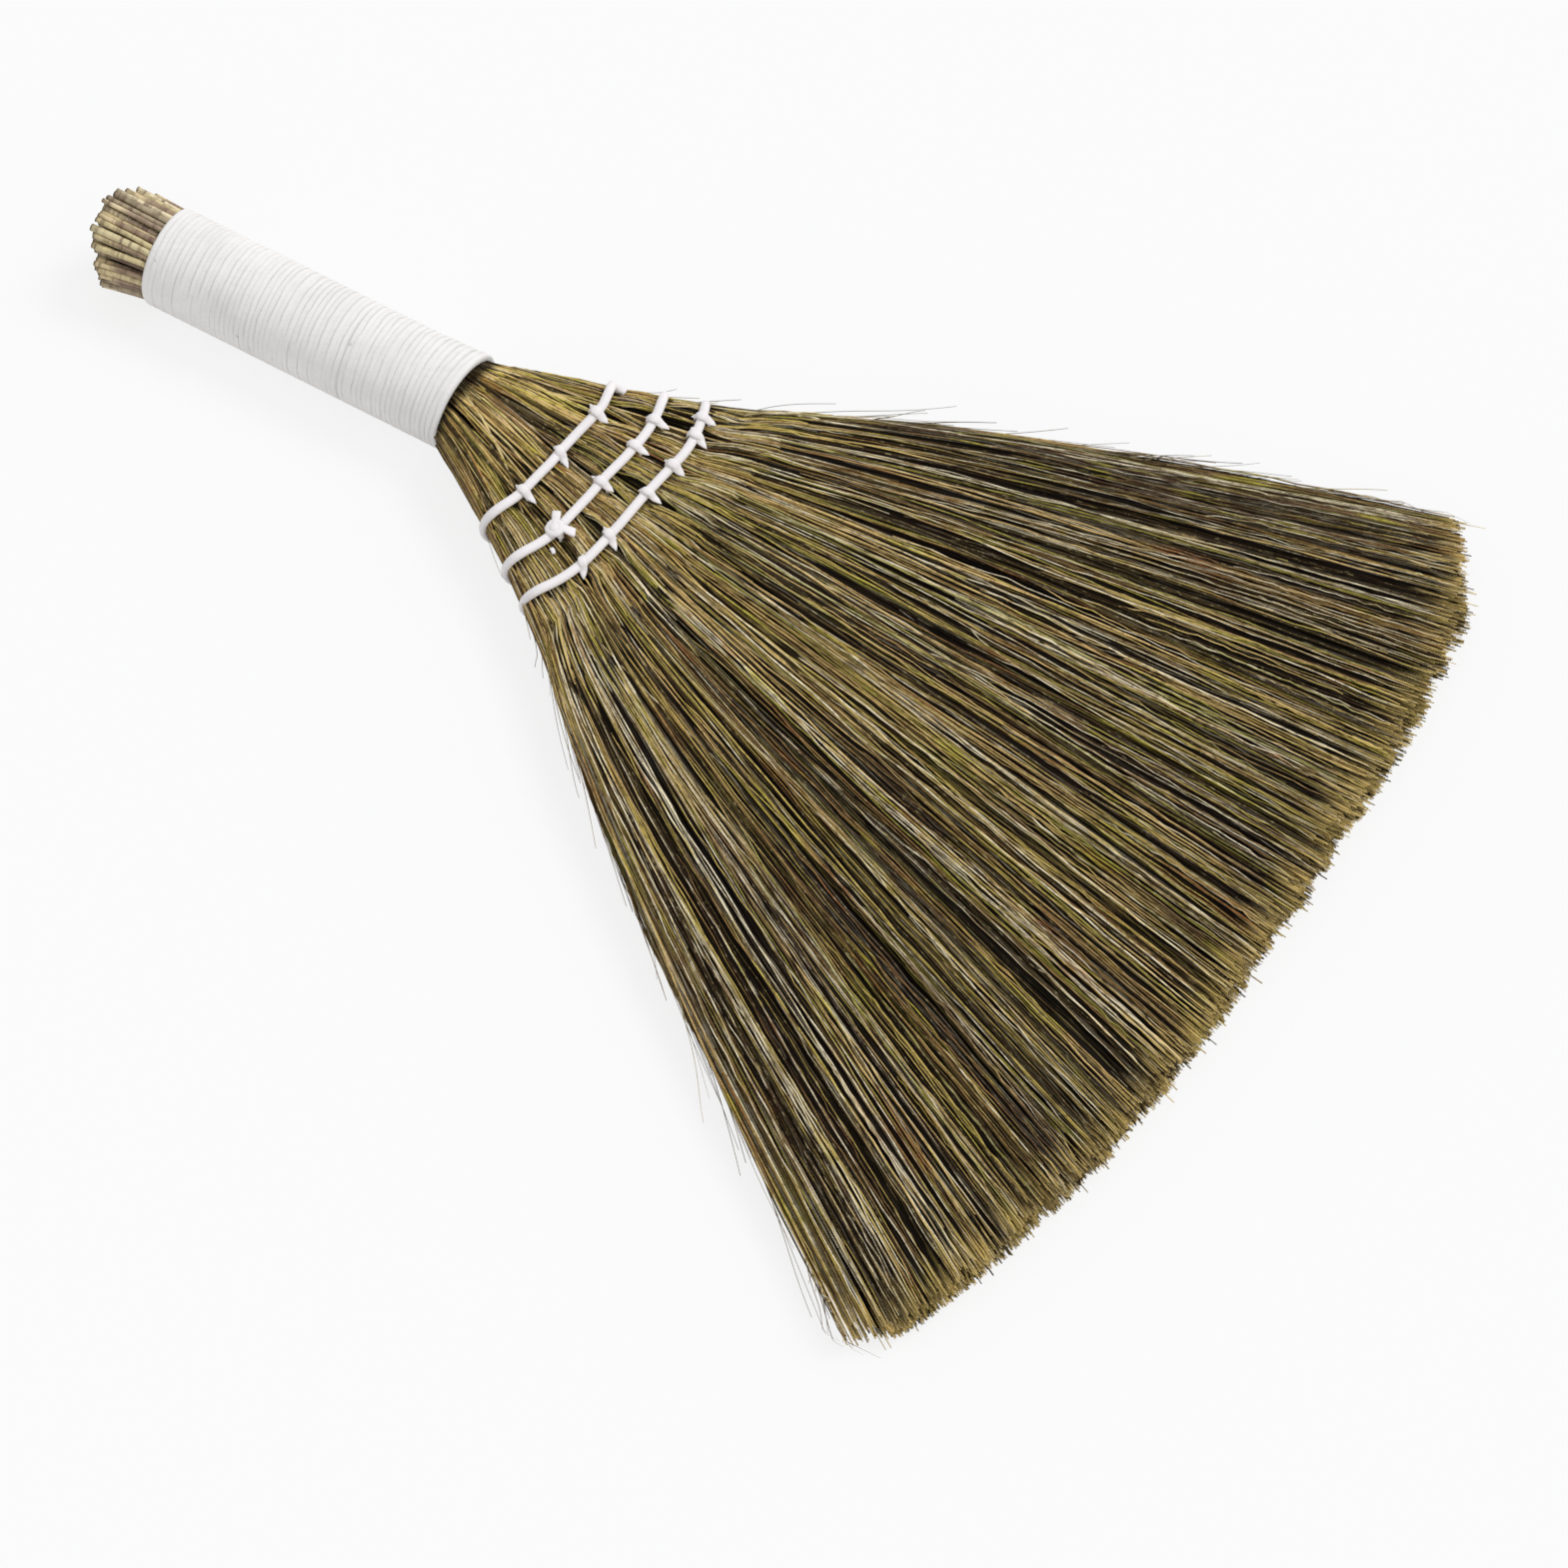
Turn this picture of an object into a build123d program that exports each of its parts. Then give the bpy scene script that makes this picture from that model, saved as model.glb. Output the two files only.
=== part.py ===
from build123d import *
import os
from math import cos, hypot, pi, radians, sin, sqrt

# A straw hand broom that lies on the floor: a grip of stalks under a wound cord, and a flat
# fan of straws held by three rows of cord and their stitches. Millimetres, +Z up, +X along
# the grip from its butt to the head. The origin is on the floor under the broom's middle.

os.makedirs("parts", exist_ok=True)

# Grip
grip_length = 126.0
grip_radius = 18.5
winding_cord_radius = 2.2
winding_most_turns = 24
turn_gap = 0.6
winding_fit = 0.3
rest_flat = 0.5

# Stalk ends at the butt
stalk_proud = 24.0
stalk_ragged_share = 0.4
stalk_width = 2.9
stalk_gap = 0.5
stalk_flare_share = 0.5
stalk_rise_share = 0.3
stalk_rag_steps = (2.9, 1.3)

# Inner ties, sunk in grooves of the stalks under the winding
tie_cord_radius = 1.2
tie_fit = 0.2
tie_place_shares = (0.2, 0.8)

# Sheaves, side by side across the broom
sheaf_count = 7
sheaf_gap = 0.3

# Bound head, in distances along the head from the neck, where the winding ends
head_yaw = 8.5
head_sway = 1.2
neck_radius = 17.2
shoulder_distance = 28.0
shoulder_half_width = 30.5
shoulder_half_height = 9.4
binding_length = 86.0
binding_half_width = 58.8
binding_half_height = 6.4
edge_round_share = 0.75

# Fan of straws past the binding
fan_half_angle = 28.7
fan_centre_back = 30.0
fan_reach = 376.0
fan_bulge = 8.0
fan_bend_share = 0.3
tip_layer_height = 4.0
strand_columns = 15
strand_layers = 4
strand_sink = 3.0
strand_width_share = 0.56
strand_tip_width_share = 0.8
strand_height_share = 0.82
strand_stagger_share = 0.18
strand_ragged_share = 0.024
strand_rag_steps = (2.4, 1.7)

# How far the tips reach in each direction, from the low edge of the fan to the high one
reach_shares = (
    (-1.0, 1.064), (-0.9, 1.074), (-0.6, 1.043), (-0.27, 1.015), (0.03, 0.998),
    (0.32, 1.0), (0.59, 1.015), (0.81, 1.032), (1.0, 1.009),
)

# Rows of cord round the bound head: where each crosses the edges, and its bulge to the tips
row_cord_radius = 1.75
row_distances = (37.2, 54.0, 67.0)
row_bulges = (5.5, 7.0, 9.0)
row_bend_share = 0.5
row_bend_fillet_share = 0.12
row_corner_share = 0.85
row_end_gap = 0.4

# Stitches: a whole number counts half sheaves from the head's middle
stitch_cord_radius = 1.3
stitch_places = ((-4, 0, 4), (-4, 0, 3, 5), (-4, -2, 1, 3, 5, 6))
join_places = (0, 0, 1)
cord_fit = 0.3
hole_fit = 0.3

# Finishing knot, tied on the first stitch of the second row
knot_row = 1
knot_radius = 2.7
knot_turn = 90.0
knot_tail_radius = 1.1
knot_tail_length = 9.0
knot_tail_angles = (124.0, 24.0)

# Values worked out from the sizes above
axis_height = grip_radius - rest_flat
winding_path_radius = grip_radius - winding_cord_radius
core_radius = winding_path_radius - winding_cord_radius - winding_fit
overrun = grip_radius
yaw = radians(head_yaw)
tip_height = strand_height_share * tip_layer_height
tip_middle = tip_height / 2 + tip_layer_height * (strand_layers - 1) / 2 - rest_flat
sink_slope = (axis_height - tip_middle) / fan_reach


def blend(start, end, share):
    """The value a share of the way from start to end."""
    return start + (end - start) * share


def ragged(steps, first, second):
    """How much shorter an end is cut than the longest one, from 0 to 1."""
    return (1 + sin(steps[0] * first + steps[1] * second)) / 2


def reach(u):
    """How far a tip lies from the fan's centre, for u from -1 to 1 across the fan."""
    for (u0, share0), (u1, share1) in zip(reach_shares, reach_shares[1:]):
        if u <= u1 or u1 == reach_shares[-1][0]:
            return fan_reach * blend(share0, share1, (u - u0) / (u1 - u0))


def tip_place(u, ragged_share=0):
    """Distance along the head and place across it of a straw's tip."""
    angle = radians(fan_half_angle) * u
    length = reach(u) * (1 - ragged_share)
    return length * cos(angle) - fan_centre_back, length * sin(angle)


def unplaced(along, across):
    """Handle directions of a point of the head, from the neck."""
    return along * cos(yaw) + across * sin(yaw), across * cos(yaw) - along * sin(yaw)


# Middle of the whole broom, from the neck
edge_steps = [2 * step / (sheaf_count * strand_columns) - 1
              for step in range(sheaf_count * strand_columns + 1)]
tip_points = [unplaced(*tip_place(u)) for u in edge_steps]
middle_x = (max(x for x, y in tip_points) - grip_length - stalk_proud) / 2
middle_y = (max(y for x, y in tip_points) + min(y for x, y in tip_points)) / 2


def head_point(along, across, height):
    """A point of the head: along it from the neck, across it, and above the floor."""
    x, y = unplaced(along, across)
    return Vector(x - middle_x, y - middle_y, height)


def head_plane(along, across, height):
    """A plane square to the head at a point of it, its X across and its Y up."""
    return Plane(origin=head_point(along, across, height), x_dir=(sin(yaw), cos(yaw), 0),
                 z_dir=(cos(yaw), -sin(yaw), 0))


def grip_plane(x, across=0, up=0):
    """A plane square to the grip at a point from its axis, its X across and its Y up."""
    return Plane(origin=(x - middle_x, across - middle_y, axis_height + up),
                 x_dir=(0, 1, 0), z_dir=(1, 0, 0))


def centre_height(along):
    """Height of the head's middle layer above the floor."""
    return axis_height - sink_slope * along


def binding_share(along):
    return (along - shoulder_distance) / (binding_length - shoulder_distance)


def half_width(along):
    return blend(shoulder_half_width, binding_half_width, binding_share(along))


def half_height(along):
    return blend(shoulder_half_height, binding_half_height, binding_share(along))


def edge_height(along, across):
    """Half the head's thickness at a place across it, less where its edge is rounded."""
    high = half_height(along)
    inset = half_width(along) - abs(across - head_sway)
    round_radius = high * (1 + edge_round_share ** 2) / (2 * edge_round_share)
    if inset >= edge_round_share * high:
        return high
    return sqrt(round_radius ** 2 - (round_radius - inset) ** 2)


def row_edge(row):
    """How far out a row cord turns round the head's edges, from the head's middle."""
    return half_width(row_distances[row]) + cord_fit + row_cord_radius


def row_bend(row):
    """How far out a row cord bends, from the head's middle."""
    return half_width(row_distances[row]) * row_bend_share


def row_line(row, out):
    """Distance along the head of a row cord at a distance from the head's middle."""
    rise = min(1, (row_edge(row) - abs(out)) / (row_edge(row) - row_bend(row)))
    return row_distances[row] + row_bulges[row] * rise


def row_surface(along):
    """Height of a row cord's centre above the head's middle layer."""
    return half_height(along) + cord_fit + row_cord_radius


def stitch_site(row, place):
    """Where a stitch holds its row cord, the way it points, and its two holes."""
    out = half_width(row_distances[row]) * place / sheaf_count
    lean = 0
    if abs(out) > row_bend(row):
        run = row_edge(row) - row_bend(row)
        lean = row_bulges[row] / hypot(run, row_bulges[row]) * (1 if out > 0 else -1)
    way = Vector(sqrt(1 - lean * lean), lean)
    middle = Vector(row_line(row, out), head_sway + out)
    return middle, way, [middle - way * stitch_reach, middle + way * stitch_reach]


def strand(sections):
    """A straw or stalk: a four-sided ruled loft through a plane, width and height at a time."""
    with BuildPart() as straw:
        for plane, wide, high in sections:
            with BuildSketch(plane):
                Rectangle(wide, high)
        loft(ruled=True)
    return straw.part


def straw_sections(column, layer):
    """The sections of one straw at its root, at its bend and at its tip."""
    columns = sheaf_count * strand_columns
    u = (2 * column + 1) / columns - 1
    shorter = strand_ragged_share * ragged(strand_rag_steps, column, layer)
    stagger = strand_stagger_share / columns * (1 if layer % 2 else -1)
    tip_along, tip_across = tip_place(u + stagger, shorter)
    root_along = binding_length - strand_sink
    root_half = half_width(root_along)
    root_across = head_sway + root_half * u
    bend_along = blend(root_along, tip_along, fan_bend_share)
    bend_across = blend(root_across, tip_across, fan_bend_share) + fan_bulge * u
    angle = radians(fan_half_angle)
    tip_pitch = 2 * angle / columns * (tip_along + fan_centre_back) / cos(angle * u) ** 2
    root_pitch = 2 * root_half / columns
    bend_pitch = blend(root_pitch, tip_pitch, fan_bend_share)
    root_layer = 2 * edge_height(root_along, root_across) / strand_layers
    root_up = root_layer * (layer - (strand_layers - 1) / 2)
    tip_up = tip_middle + tip_layer_height * (layer - (strand_layers - 1) / 2)
    root_up += centre_height(root_along)
    root_wide, tip_wide = strand_width_share * root_pitch, strand_tip_width_share * tip_pitch
    bend_wide = blend(strand_width_share, strand_tip_width_share, fan_bend_share) * bend_pitch
    root_high, tip_high = strand_height_share * root_layer, tip_height
    places = (
        (root_along, root_across, root_up, root_wide, root_high),
        (bend_along, bend_across, blend(root_up, tip_up, fan_bend_share), bend_wide,
         blend(root_high, tip_high, fan_bend_share)),
        (tip_along, tip_across, tip_up, tip_wide, tip_high),
    )
    return [(head_plane(along, across, up), wide, high)
            for along, across, up, wide, high in places]


def stalk_sections(sheaf):
    """The sections of each stalk end that shows at the butt of one sheaf."""
    across = core_radius * ((2 * sheaf + 1) / sheaf_count - 1)
    side = min(abs(across) + stalk_width / 2, core_radius)
    count = max(1, int(2 * sqrt(core_radius ** 2 - side ** 2) / (stalk_width + stalk_gap)))
    ends = []
    for number in range(count):
        up = (stalk_width + stalk_gap) * (number - (count - 1) / 2)
        shorter = stalk_ragged_share * ragged(stalk_rag_steps, number, sheaf)
        root, tip = strand_sink - grip_length, -grip_length - stalk_proud * (1 - shorter)
        tip_plane = grip_plane(tip, across * (1 + stalk_flare_share), up * (1 + stalk_rise_share))
        ends.append([
            (grip_plane(root, across, up), stalk_width, stalk_width),
            (tip_plane, stalk_width, stalk_width),
        ])
    return ends


def boundary(edge, side):
    """Plan points of the edge between two sheaves, a half gap to one side of it."""
    share = 2 * edge / sheaf_count - 1
    shift = side * sheaf_gap / 2
    if edge in (0, sheaf_count):
        shift = -side * overrun
    across = neck_radius * share + shift
    plan = [(-overrun - middle_x, across - middle_y), (-middle_x, across - middle_y)]
    for along in (shoulder_distance, binding_length, binding_length + overrun):
        point = head_point(along, head_sway + half_width(along) * share + shift, 0)
        plan.append((point.X, point.Y))
    return plan


# Head bundle: one body from the neck to the end of the binding, holed for the stitches
stitch_reach = row_cord_radius + stitch_cord_radius + cord_fit
stitch_sites = {(row, place): stitch_site(row, place)
                for row, places in enumerate(stitch_places) for place in places}
with BuildPart() as bundle:
    with BuildSketch(grip_plane(0)):
        with BuildLine():
            corner = neck_radius * sqrt(1 / 2)
            ThreePointArc((-corner, corner), (0, neck_radius), (corner, corner))
            ThreePointArc((corner, corner), (neck_radius, 0), (corner, -corner))
            ThreePointArc((corner, -corner), (0, -neck_radius), (-corner, -corner))
            ThreePointArc((-corner, -corner), (-neck_radius, 0), (-corner, corner))
        make_face()
    for along in (shoulder_distance, binding_length):
        wide, high = half_width(along), half_height(along)
        flat = wide - edge_round_share * high
        with BuildSketch(head_plane(along, head_sway, centre_height(along))):
            with BuildLine():
                Line((-flat, high), (flat, high))
                ThreePointArc((flat, high), (wide, 0), (flat, -high))
                Line((flat, -high), (-flat, -high))
                ThreePointArc((-flat, -high), (-wide, 0), (-flat, high))
            make_face()
    loft(ruled=True)
    with BuildSketch(Plane.XY):
        for middle, way, holes in stitch_sites.values():
            with Locations(*[tuple(head_point(hole.X, hole.Y, 0))[:2] for hole in holes]):
                Circle(stitch_cord_radius + hole_fit)
    extrude(amount=axis_height + overrun, mode=Mode.SUBTRACT)

# Sheaves: each one's stalks in the grip, and its straws from the neck to the tips. Strands
# that don't meet each other are joined to their backing in one fuse of their compound.
strip_width = 2 * core_radius / sheaf_count
for sheaf in range(sheaf_count):
    with BuildPart() as grip_slice:
        with BuildSketch(grip_plane(-grip_length)):
            Circle(core_radius)
            with Locations((strip_width * (sheaf + 1 / 2) - core_radius, 0)):
                Rectangle(strip_width - sheaf_gap, 2 * core_radius, mode=Mode.INTERSECT)
        extrude(amount=grip_length)
        for share in tie_place_shares:
            with BuildSketch(grip_plane(-grip_length * share - tie_cord_radius - tie_fit)):
                Circle(grip_radius)
                Circle(core_radius - 2 * tie_cord_radius - tie_fit, mode=Mode.SUBTRACT)
            extrude(amount=2 * (tie_cord_radius + tie_fit), mode=Mode.SUBTRACT)
    stalk_ends = Compound([strand(sections) for sections in stalk_sections(sheaf)])
    with BuildPart() as stalks:
        add(grip_slice.part.fuse(stalk_ends))
    stalks.part.label = f"stalks_{sheaf + 1}"
    export_step(stalks.part, f"parts/stalks_{sheaf + 1}.step")

    with BuildPart() as head_slice:
        add(bundle.part)
        with BuildSketch(Plane.XY):
            with BuildLine():
                Polyline(*boundary(sheaf, 1), *reversed(boundary(sheaf + 1, -1)), close=True)
            make_face()
        extrude(amount=axis_height + overrun, mode=Mode.INTERSECT)
    columns = range(sheaf * strand_columns, (sheaf + 1) * strand_columns)
    straws = Compound([strand(straw_sections(column, layer))
                       for column in columns for layer in range(strand_layers)])
    with BuildPart() as straw_sheaf:
        add(head_slice.part.fuse(straws))
        split(bisect_by=Plane.XY, keep=Keep.TOP)
    straw_sheaf.part.label = f"straw_sheaf_{sheaf + 1}"
    export_step(straw_sheaf.part, f"parts/straw_sheaf_{sheaf + 1}.step")
    print("sheaf", sheaf + 1, "solids", len(stalks.part.solids()),
          len(straw_sheaf.part.solids()), "valid", straw_sheaf.part.is_valid)

# Inner ties, each a ring of cord in its groove
for number, share in enumerate(tie_place_shares):
    with BuildPart() as tie:
        with BuildSketch(Plane(origin=grip_plane(-grip_length * share).origin, z_dir=(0, 1, 0),
                               x_dir=(1, 0, 0))):
            with Locations((0, core_radius - tie_cord_radius)):
                Circle(tie_cord_radius)
        revolve(axis=Axis(grip_plane(0).origin, (1, 0, 0)))
    tie.part.label = f"inner_tie_{number + 1}"
    export_step(tie.part, f"parts/inner_tie_{number + 1}.step")


# Winding: one cord from the butt to the neck, its turns on pairs of quarter turn arcs
winding_run = grip_length - 2 * winding_cord_radius - turn_gap
turns = min(winding_most_turns, int(winding_run / (2 * winding_cord_radius + turn_gap)))
pitch = winding_run / turns


def winding_point(turn):
    """A point of the winding's middle line, in turns from the butt."""
    angle = 2 * pi * turn
    return Vector(pitch * turn - (grip_length + winding_run) / 2 - middle_x,
                  -winding_path_radius * sin(angle) - middle_y,
                  axis_height + winding_path_radius * cos(angle))


def winding_way(turn):
    """The way that the winding runs at a point of its middle line."""
    angle = 2 * pi * turn
    return Vector(pitch, -2 * pi * winding_path_radius * cos(angle),
                  -2 * pi * winding_path_radius * sin(angle)).normalized()


with BuildPart() as winding:
    start_way, end_way = winding_way(0), winding_way(turns)
    start = winding_point(0) - start_way * 2 * winding_cord_radius
    with BuildLine() as winding_path:
        Line(start, winding_point(0))
        for half in range(2 * turns):
            a, b = winding_point(half / 2), winding_point((half + 1) / 2)
            way_a, way_b = winding_way(half / 2), winding_way((half + 1) / 2)
            across, ways = b - a, way_a + way_b
            square, cross, free = ways.dot(ways) - 4, -2 * across.dot(ways), across.dot(across)
            arm = (-cross - sqrt(cross * cross - 4 * square * free)) / (2 * square)
            joint = (a + way_a * arm + b - way_b * arm) / 2
            TangentArc(a, joint, tangent=way_a)
            TangentArc(joint, b, tangent=b - way_b * arm - a - way_a * arm)
        Line(winding_point(turns), winding_point(turns) + end_way * 2 * winding_cord_radius)
    with BuildSketch(Plane(origin=start, z_dir=start_way)):
        Circle(winding_cord_radius)
    sweep(path=winding_path.line)
    winding_length = sum(edge.length for edge in winding_path.edges())
    whole_volume = winding.part.volume
    split(bisect_by=Plane.XY, keep=Keep.TOP)
winding.part.label = "grip_winding"
export_step(winding.part, "parts/grip_winding.step")

turn_samples = 48
winding_points = [edge @ (step / turn_samples) for edge in winding_path.edges()
                  for step in range(turn_samples)]
least_turn = min(
    (p - q).length for number, p in enumerate(winding_points)
    for q in winding_points[number + 3 * turn_samples:number + 5 * turn_samples + 1]
)
print("winding turns", turns, "cord length", round(winding_length),
      "least gap to itself", round(least_turn - 2 * winding_cord_radius, 3))
print("winding volume against section times length",
      round(whole_volume / (pi * winding_cord_radius ** 2 * winding_length), 6))


# Row cords: each goes once round the bound head, and its ends meet at the back under a stitch
for row in range(len(row_distances)):
    edge, bend = row_edge(row), row_bend(row)
    join = stitch_sites[row, join_places[row]][0].Y - head_sway
    plan = [join + row_end_gap / 2, bend, edge, edge, bend,
            -bend, -edge, -edge, -bend, join - row_end_gap / 2]
    sides = [-1, -1, -1, 1, 1, 1, 1, -1, -1, -1]
    route = []
    for out, face in zip(plan, sides):
        along = row_line(row, out)
        height = centre_height(along) + face * row_surface(along)
        route.append(head_point(along, head_sway + out, height))
    corner = row_corner_share * row_surface(row_distances[row])
    half_turn = row_bulges[row] / (edge - bend) / 2
    gentle = half_width(row_distances[row]) * row_bend_fillet_share / half_turn
    radii = [gentle, corner, corner, gentle, gentle, corner, corner, gentle]
    with BuildPart() as row_cord:
        with BuildLine() as cord_path:
            FilletPolyline(*route, radius=radii)
        with BuildSketch(Plane(origin=route[0], z_dir=route[1] - route[0])):
            Circle(row_cord_radius)
        sweep(path=cord_path.line)
    cord_length = sum(edge.length for edge in cord_path.edges())
    print("row cord", row + 1, "radii", [round(radius, 1) for radius in radii],
          "length", round(cord_length),
          "volume against section times length",
          round(row_cord.part.volume / (pi * row_cord_radius ** 2 * cord_length), 6))
    row_cord.part.label = f"row_cord_{row + 1}"
    export_step(row_cord.part, f"parts/row_cord_{row + 1}.step")


# Stitches: each is a loop of cord through the straw, over the row cord and under its back run
for (row, place), (middle, way, holes) in stitch_sites.items():
    number = stitch_places[row].index(place) + 1
    reach_up = row_surface(middle.X)
    site = Plane(origin=head_point(middle.X, middle.Y, centre_height(middle.X)),
                 x_dir=head_point(way.X, way.Y, 0) - head_point(0, 0, 0),
                 z_dir=head_point(-way.Y, way.X, 0) - head_point(0, 0, 0))
    up = 1 if site.y_dir.Z > 0 else -1
    with BuildPart() as stitch:
        with BuildLine(site) as stitch_path:
            Line((-stitch_reach, 0), (-stitch_reach, up * reach_up))
            ThreePointArc((-stitch_reach, up * reach_up), (0, up * (reach_up + stitch_reach)),
                          (stitch_reach, up * reach_up))
            Line((stitch_reach, up * reach_up), (stitch_reach, -up * reach_up))
            ThreePointArc((stitch_reach, -up * reach_up), (0, -up * (reach_up + stitch_reach)),
                          (-stitch_reach, -up * reach_up))
            Line((-stitch_reach, -up * reach_up), (-stitch_reach, 0))
        with BuildSketch(Plane(origin=site.from_local_coords((-stitch_reach, 0, 0)),
                               z_dir=(0, 0, 1))):
            Circle(stitch_cord_radius)
        sweep(path=stitch_path.line)
    name = f"stitch_{row + 1}_{number}"
    if row == knot_row and number == 1:
        name = "finishing_knot"
        crest = centre_height(middle.X) + reach_up + stitch_reach
        lump = head_point(middle.X, middle.Y, crest + knot_radius / 2)
        floor_up = centre_height(middle.X) + half_height(middle.X) + knot_tail_radius + cord_fit
        tails = []
        for angle in knot_tail_angles:
            end = middle + Vector(cos(radians(angle)), sin(radians(angle))) * knot_tail_length
            tails.append(head_point(end.X, end.Y, floor_up))
        with BuildPart() as knot:
            add(stitch.part)
            with Locations(lump):
                Sphere(knot_radius, rotation=(knot_turn, 0, 0))
            for tail in tails:
                with BuildSketch(Plane(origin=lump, z_dir=tail - lump)):
                    Circle(knot_tail_radius)
                extrude(amount=(tail - lump).length)
        stitch = knot
    stitch.part.label = name
    export_step(stitch.part, f"parts/{name}.step")
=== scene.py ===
from collections import namedtuple
from math import atan2, cos, pi, radians, sin

import bpy
import numpy as np
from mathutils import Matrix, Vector


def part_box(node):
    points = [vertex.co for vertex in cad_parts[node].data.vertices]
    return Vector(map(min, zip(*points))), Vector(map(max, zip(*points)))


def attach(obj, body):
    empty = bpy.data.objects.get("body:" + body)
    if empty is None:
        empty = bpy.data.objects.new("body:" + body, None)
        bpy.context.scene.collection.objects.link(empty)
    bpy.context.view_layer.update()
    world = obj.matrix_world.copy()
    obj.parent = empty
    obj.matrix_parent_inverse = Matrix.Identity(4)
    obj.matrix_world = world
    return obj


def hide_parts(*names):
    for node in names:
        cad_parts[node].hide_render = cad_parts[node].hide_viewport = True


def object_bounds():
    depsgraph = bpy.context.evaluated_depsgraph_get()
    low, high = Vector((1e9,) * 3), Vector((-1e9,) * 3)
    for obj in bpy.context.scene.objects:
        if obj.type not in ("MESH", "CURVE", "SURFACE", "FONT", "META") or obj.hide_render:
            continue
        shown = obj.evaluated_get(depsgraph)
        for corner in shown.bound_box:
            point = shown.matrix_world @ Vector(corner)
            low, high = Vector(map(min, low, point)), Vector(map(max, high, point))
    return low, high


bl_info = {
    "name": "Straw Hand Broom",
    "version": (1, 0, 0),
    "blender": (4, 5, 0),
    "location": "View3D > Sidebar > Broom",
    "description": "Straws, stalks, cords and finishes of a stitched straw hand broom",
    "category": "Object",
}

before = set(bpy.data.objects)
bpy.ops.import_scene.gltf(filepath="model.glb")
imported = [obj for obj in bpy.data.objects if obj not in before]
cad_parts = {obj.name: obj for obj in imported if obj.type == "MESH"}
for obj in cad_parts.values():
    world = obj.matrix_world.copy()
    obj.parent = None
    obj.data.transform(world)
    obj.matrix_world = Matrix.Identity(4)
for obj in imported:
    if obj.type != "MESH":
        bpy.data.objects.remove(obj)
CAD_BOX = [list(corner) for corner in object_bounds()]

# All sizes below are in millimetres, in the directions of the head: along it from the neck,
# across it, and up from the floor. Shares are of what they name, or of the head's half width.
MM = 0.001
TINY = 1e-12
SHEAVES = 7
GRIP_LENGTH = 126.0
AXIS_HEIGHT = 18.0
WINDING_RADIUS = 18.5
WINDING_THICKNESS = 2.4
WINDING_END_GAP = 0.3
HEAD_YAW = radians(8.5)
HEAD_SWAY = 1.2
FAN_ANGLE = radians(28.7)
FAN_CENTRE_BACK = 30.0
FAN_REACH = 376.0
FAN_BULGE = 8.0
FAN_BULGE_POWER = 0.58
FAN_ROOT = 83.0
TIP_MIDDLE = 7.14
TIP_FIT = 0.4
FLOOR_FIT = 0.06
SINK_SLOPE = (AXIS_HEIGHT - TIP_MIDDLE) / FAN_REACH
REACH_SHARES = (
    (-1.0, 1.064), (-0.9, 1.074), (-0.6, 1.043), (-0.27, 1.015), (0.03, 0.998),
    (0.32, 1.0), (0.59, 1.015), (0.81, 1.032), (1.0, 1.009),
)
SHOULDER = 28.0
BINDING_END = 86.0
SECTION_ALONG = (-8.0, 0.0, SHOULDER, BINDING_END)
SECTION_WIDTHS = (15.0, 17.0, 30.5, 58.8)
SECTION_HEIGHTS = (15.0, 16.8, 9.4, 6.4)
SECTION_POWERS = (2.0, 2.0, 3.0, 5.0)
OUTERMOST_SHARE = 0.995
ROW_DISTANCES = (37.2, 54.0, 67.0)
ROW_BULGES = (5.5, 7.0, 9.0)
ROW_BEND_SHARE = 0.5
ROW_CORD_RADIUS = 1.75
CORD_FIT = 0.3
STITCH_PLACES = ((-4, 0, 4), (-4, 0, 3, 5), (-4, -2, 1, 3, 5, 6))
STITCH_LEANS = ((2, -19, 0), (0, 0, 10, 0), (-45, -14, 4, -7, -14, -6))
KNOT_ROW = 1
KNOT_TAILS = ((131, 7.6, 3.1), (38, 6.6, 3.5))

# Free ends of cord: beside the upper end of the first row, and run through at the last row
CUT_END = ((38.6, 34.6, 20.5), (40.2, 35.2, 22.9), (42.0, 35.7, 24.1), (43.9, 36.0, 24.0))
CUT_END_WIDTHS = (2.6, 2.9, 3.1, 2.9)
RUN_THROUGH_END = ((63.2, -29.0, 23.4), (64.2, -29.6, 25.7), (65.2, -30.2, 26.7),
                   (66.4, -31.0, 26.6))
RUN_THROUGH_WIDTHS = (1.2, 1.5, 1.6, 1.3)
FREE_END_FLATNESS = 0.7

# How the winding lies, and the turns of the row cords round the edges. What is uneven has the
# spacing of its changes and how large they are.
WINDING_STEPS = 60
WINDING_SIDES = 20
WINDING_OVERLAP = 1.22
WINDING_SQUEEZE = 1.1
WINDING_SQUARENESS = 0.42
WINDING_UNEVEN = ((0.23, 0.06), (0.9, 0.24))
WINDING_DIPS = (0.5, 0.045)
LEAN_LENGTH = 24.0
LEAN = 5.2
LEAN_OUT = 1.3
ROW_TURN = 6.0
ROW_FACING = 8.0
ROW_DRAWN = 0.9
ROW_ROUNDNESS = 0.9
ROW_TOP_STEPS, ROW_TURN_STEPS = 60, 24
ROW_THINNED = 0.2
ROW_FLATNESS = 0.92
ROW_UNEVEN = (8, 0.18)

# Straw swells between the rows, and parts at the stitches
PUFF_HEIGHT = 1.5
PUFF_REACH = 4.5
PUFF_FIT = 0.2
PUFF_FROM, PUFF_TO = 8.0, 100.0
PARTING = 2.8
PARTING_BACK = 3.0
PARTING_LENGTH = 10.0
PARTING_WIDTH = 3.6

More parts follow.
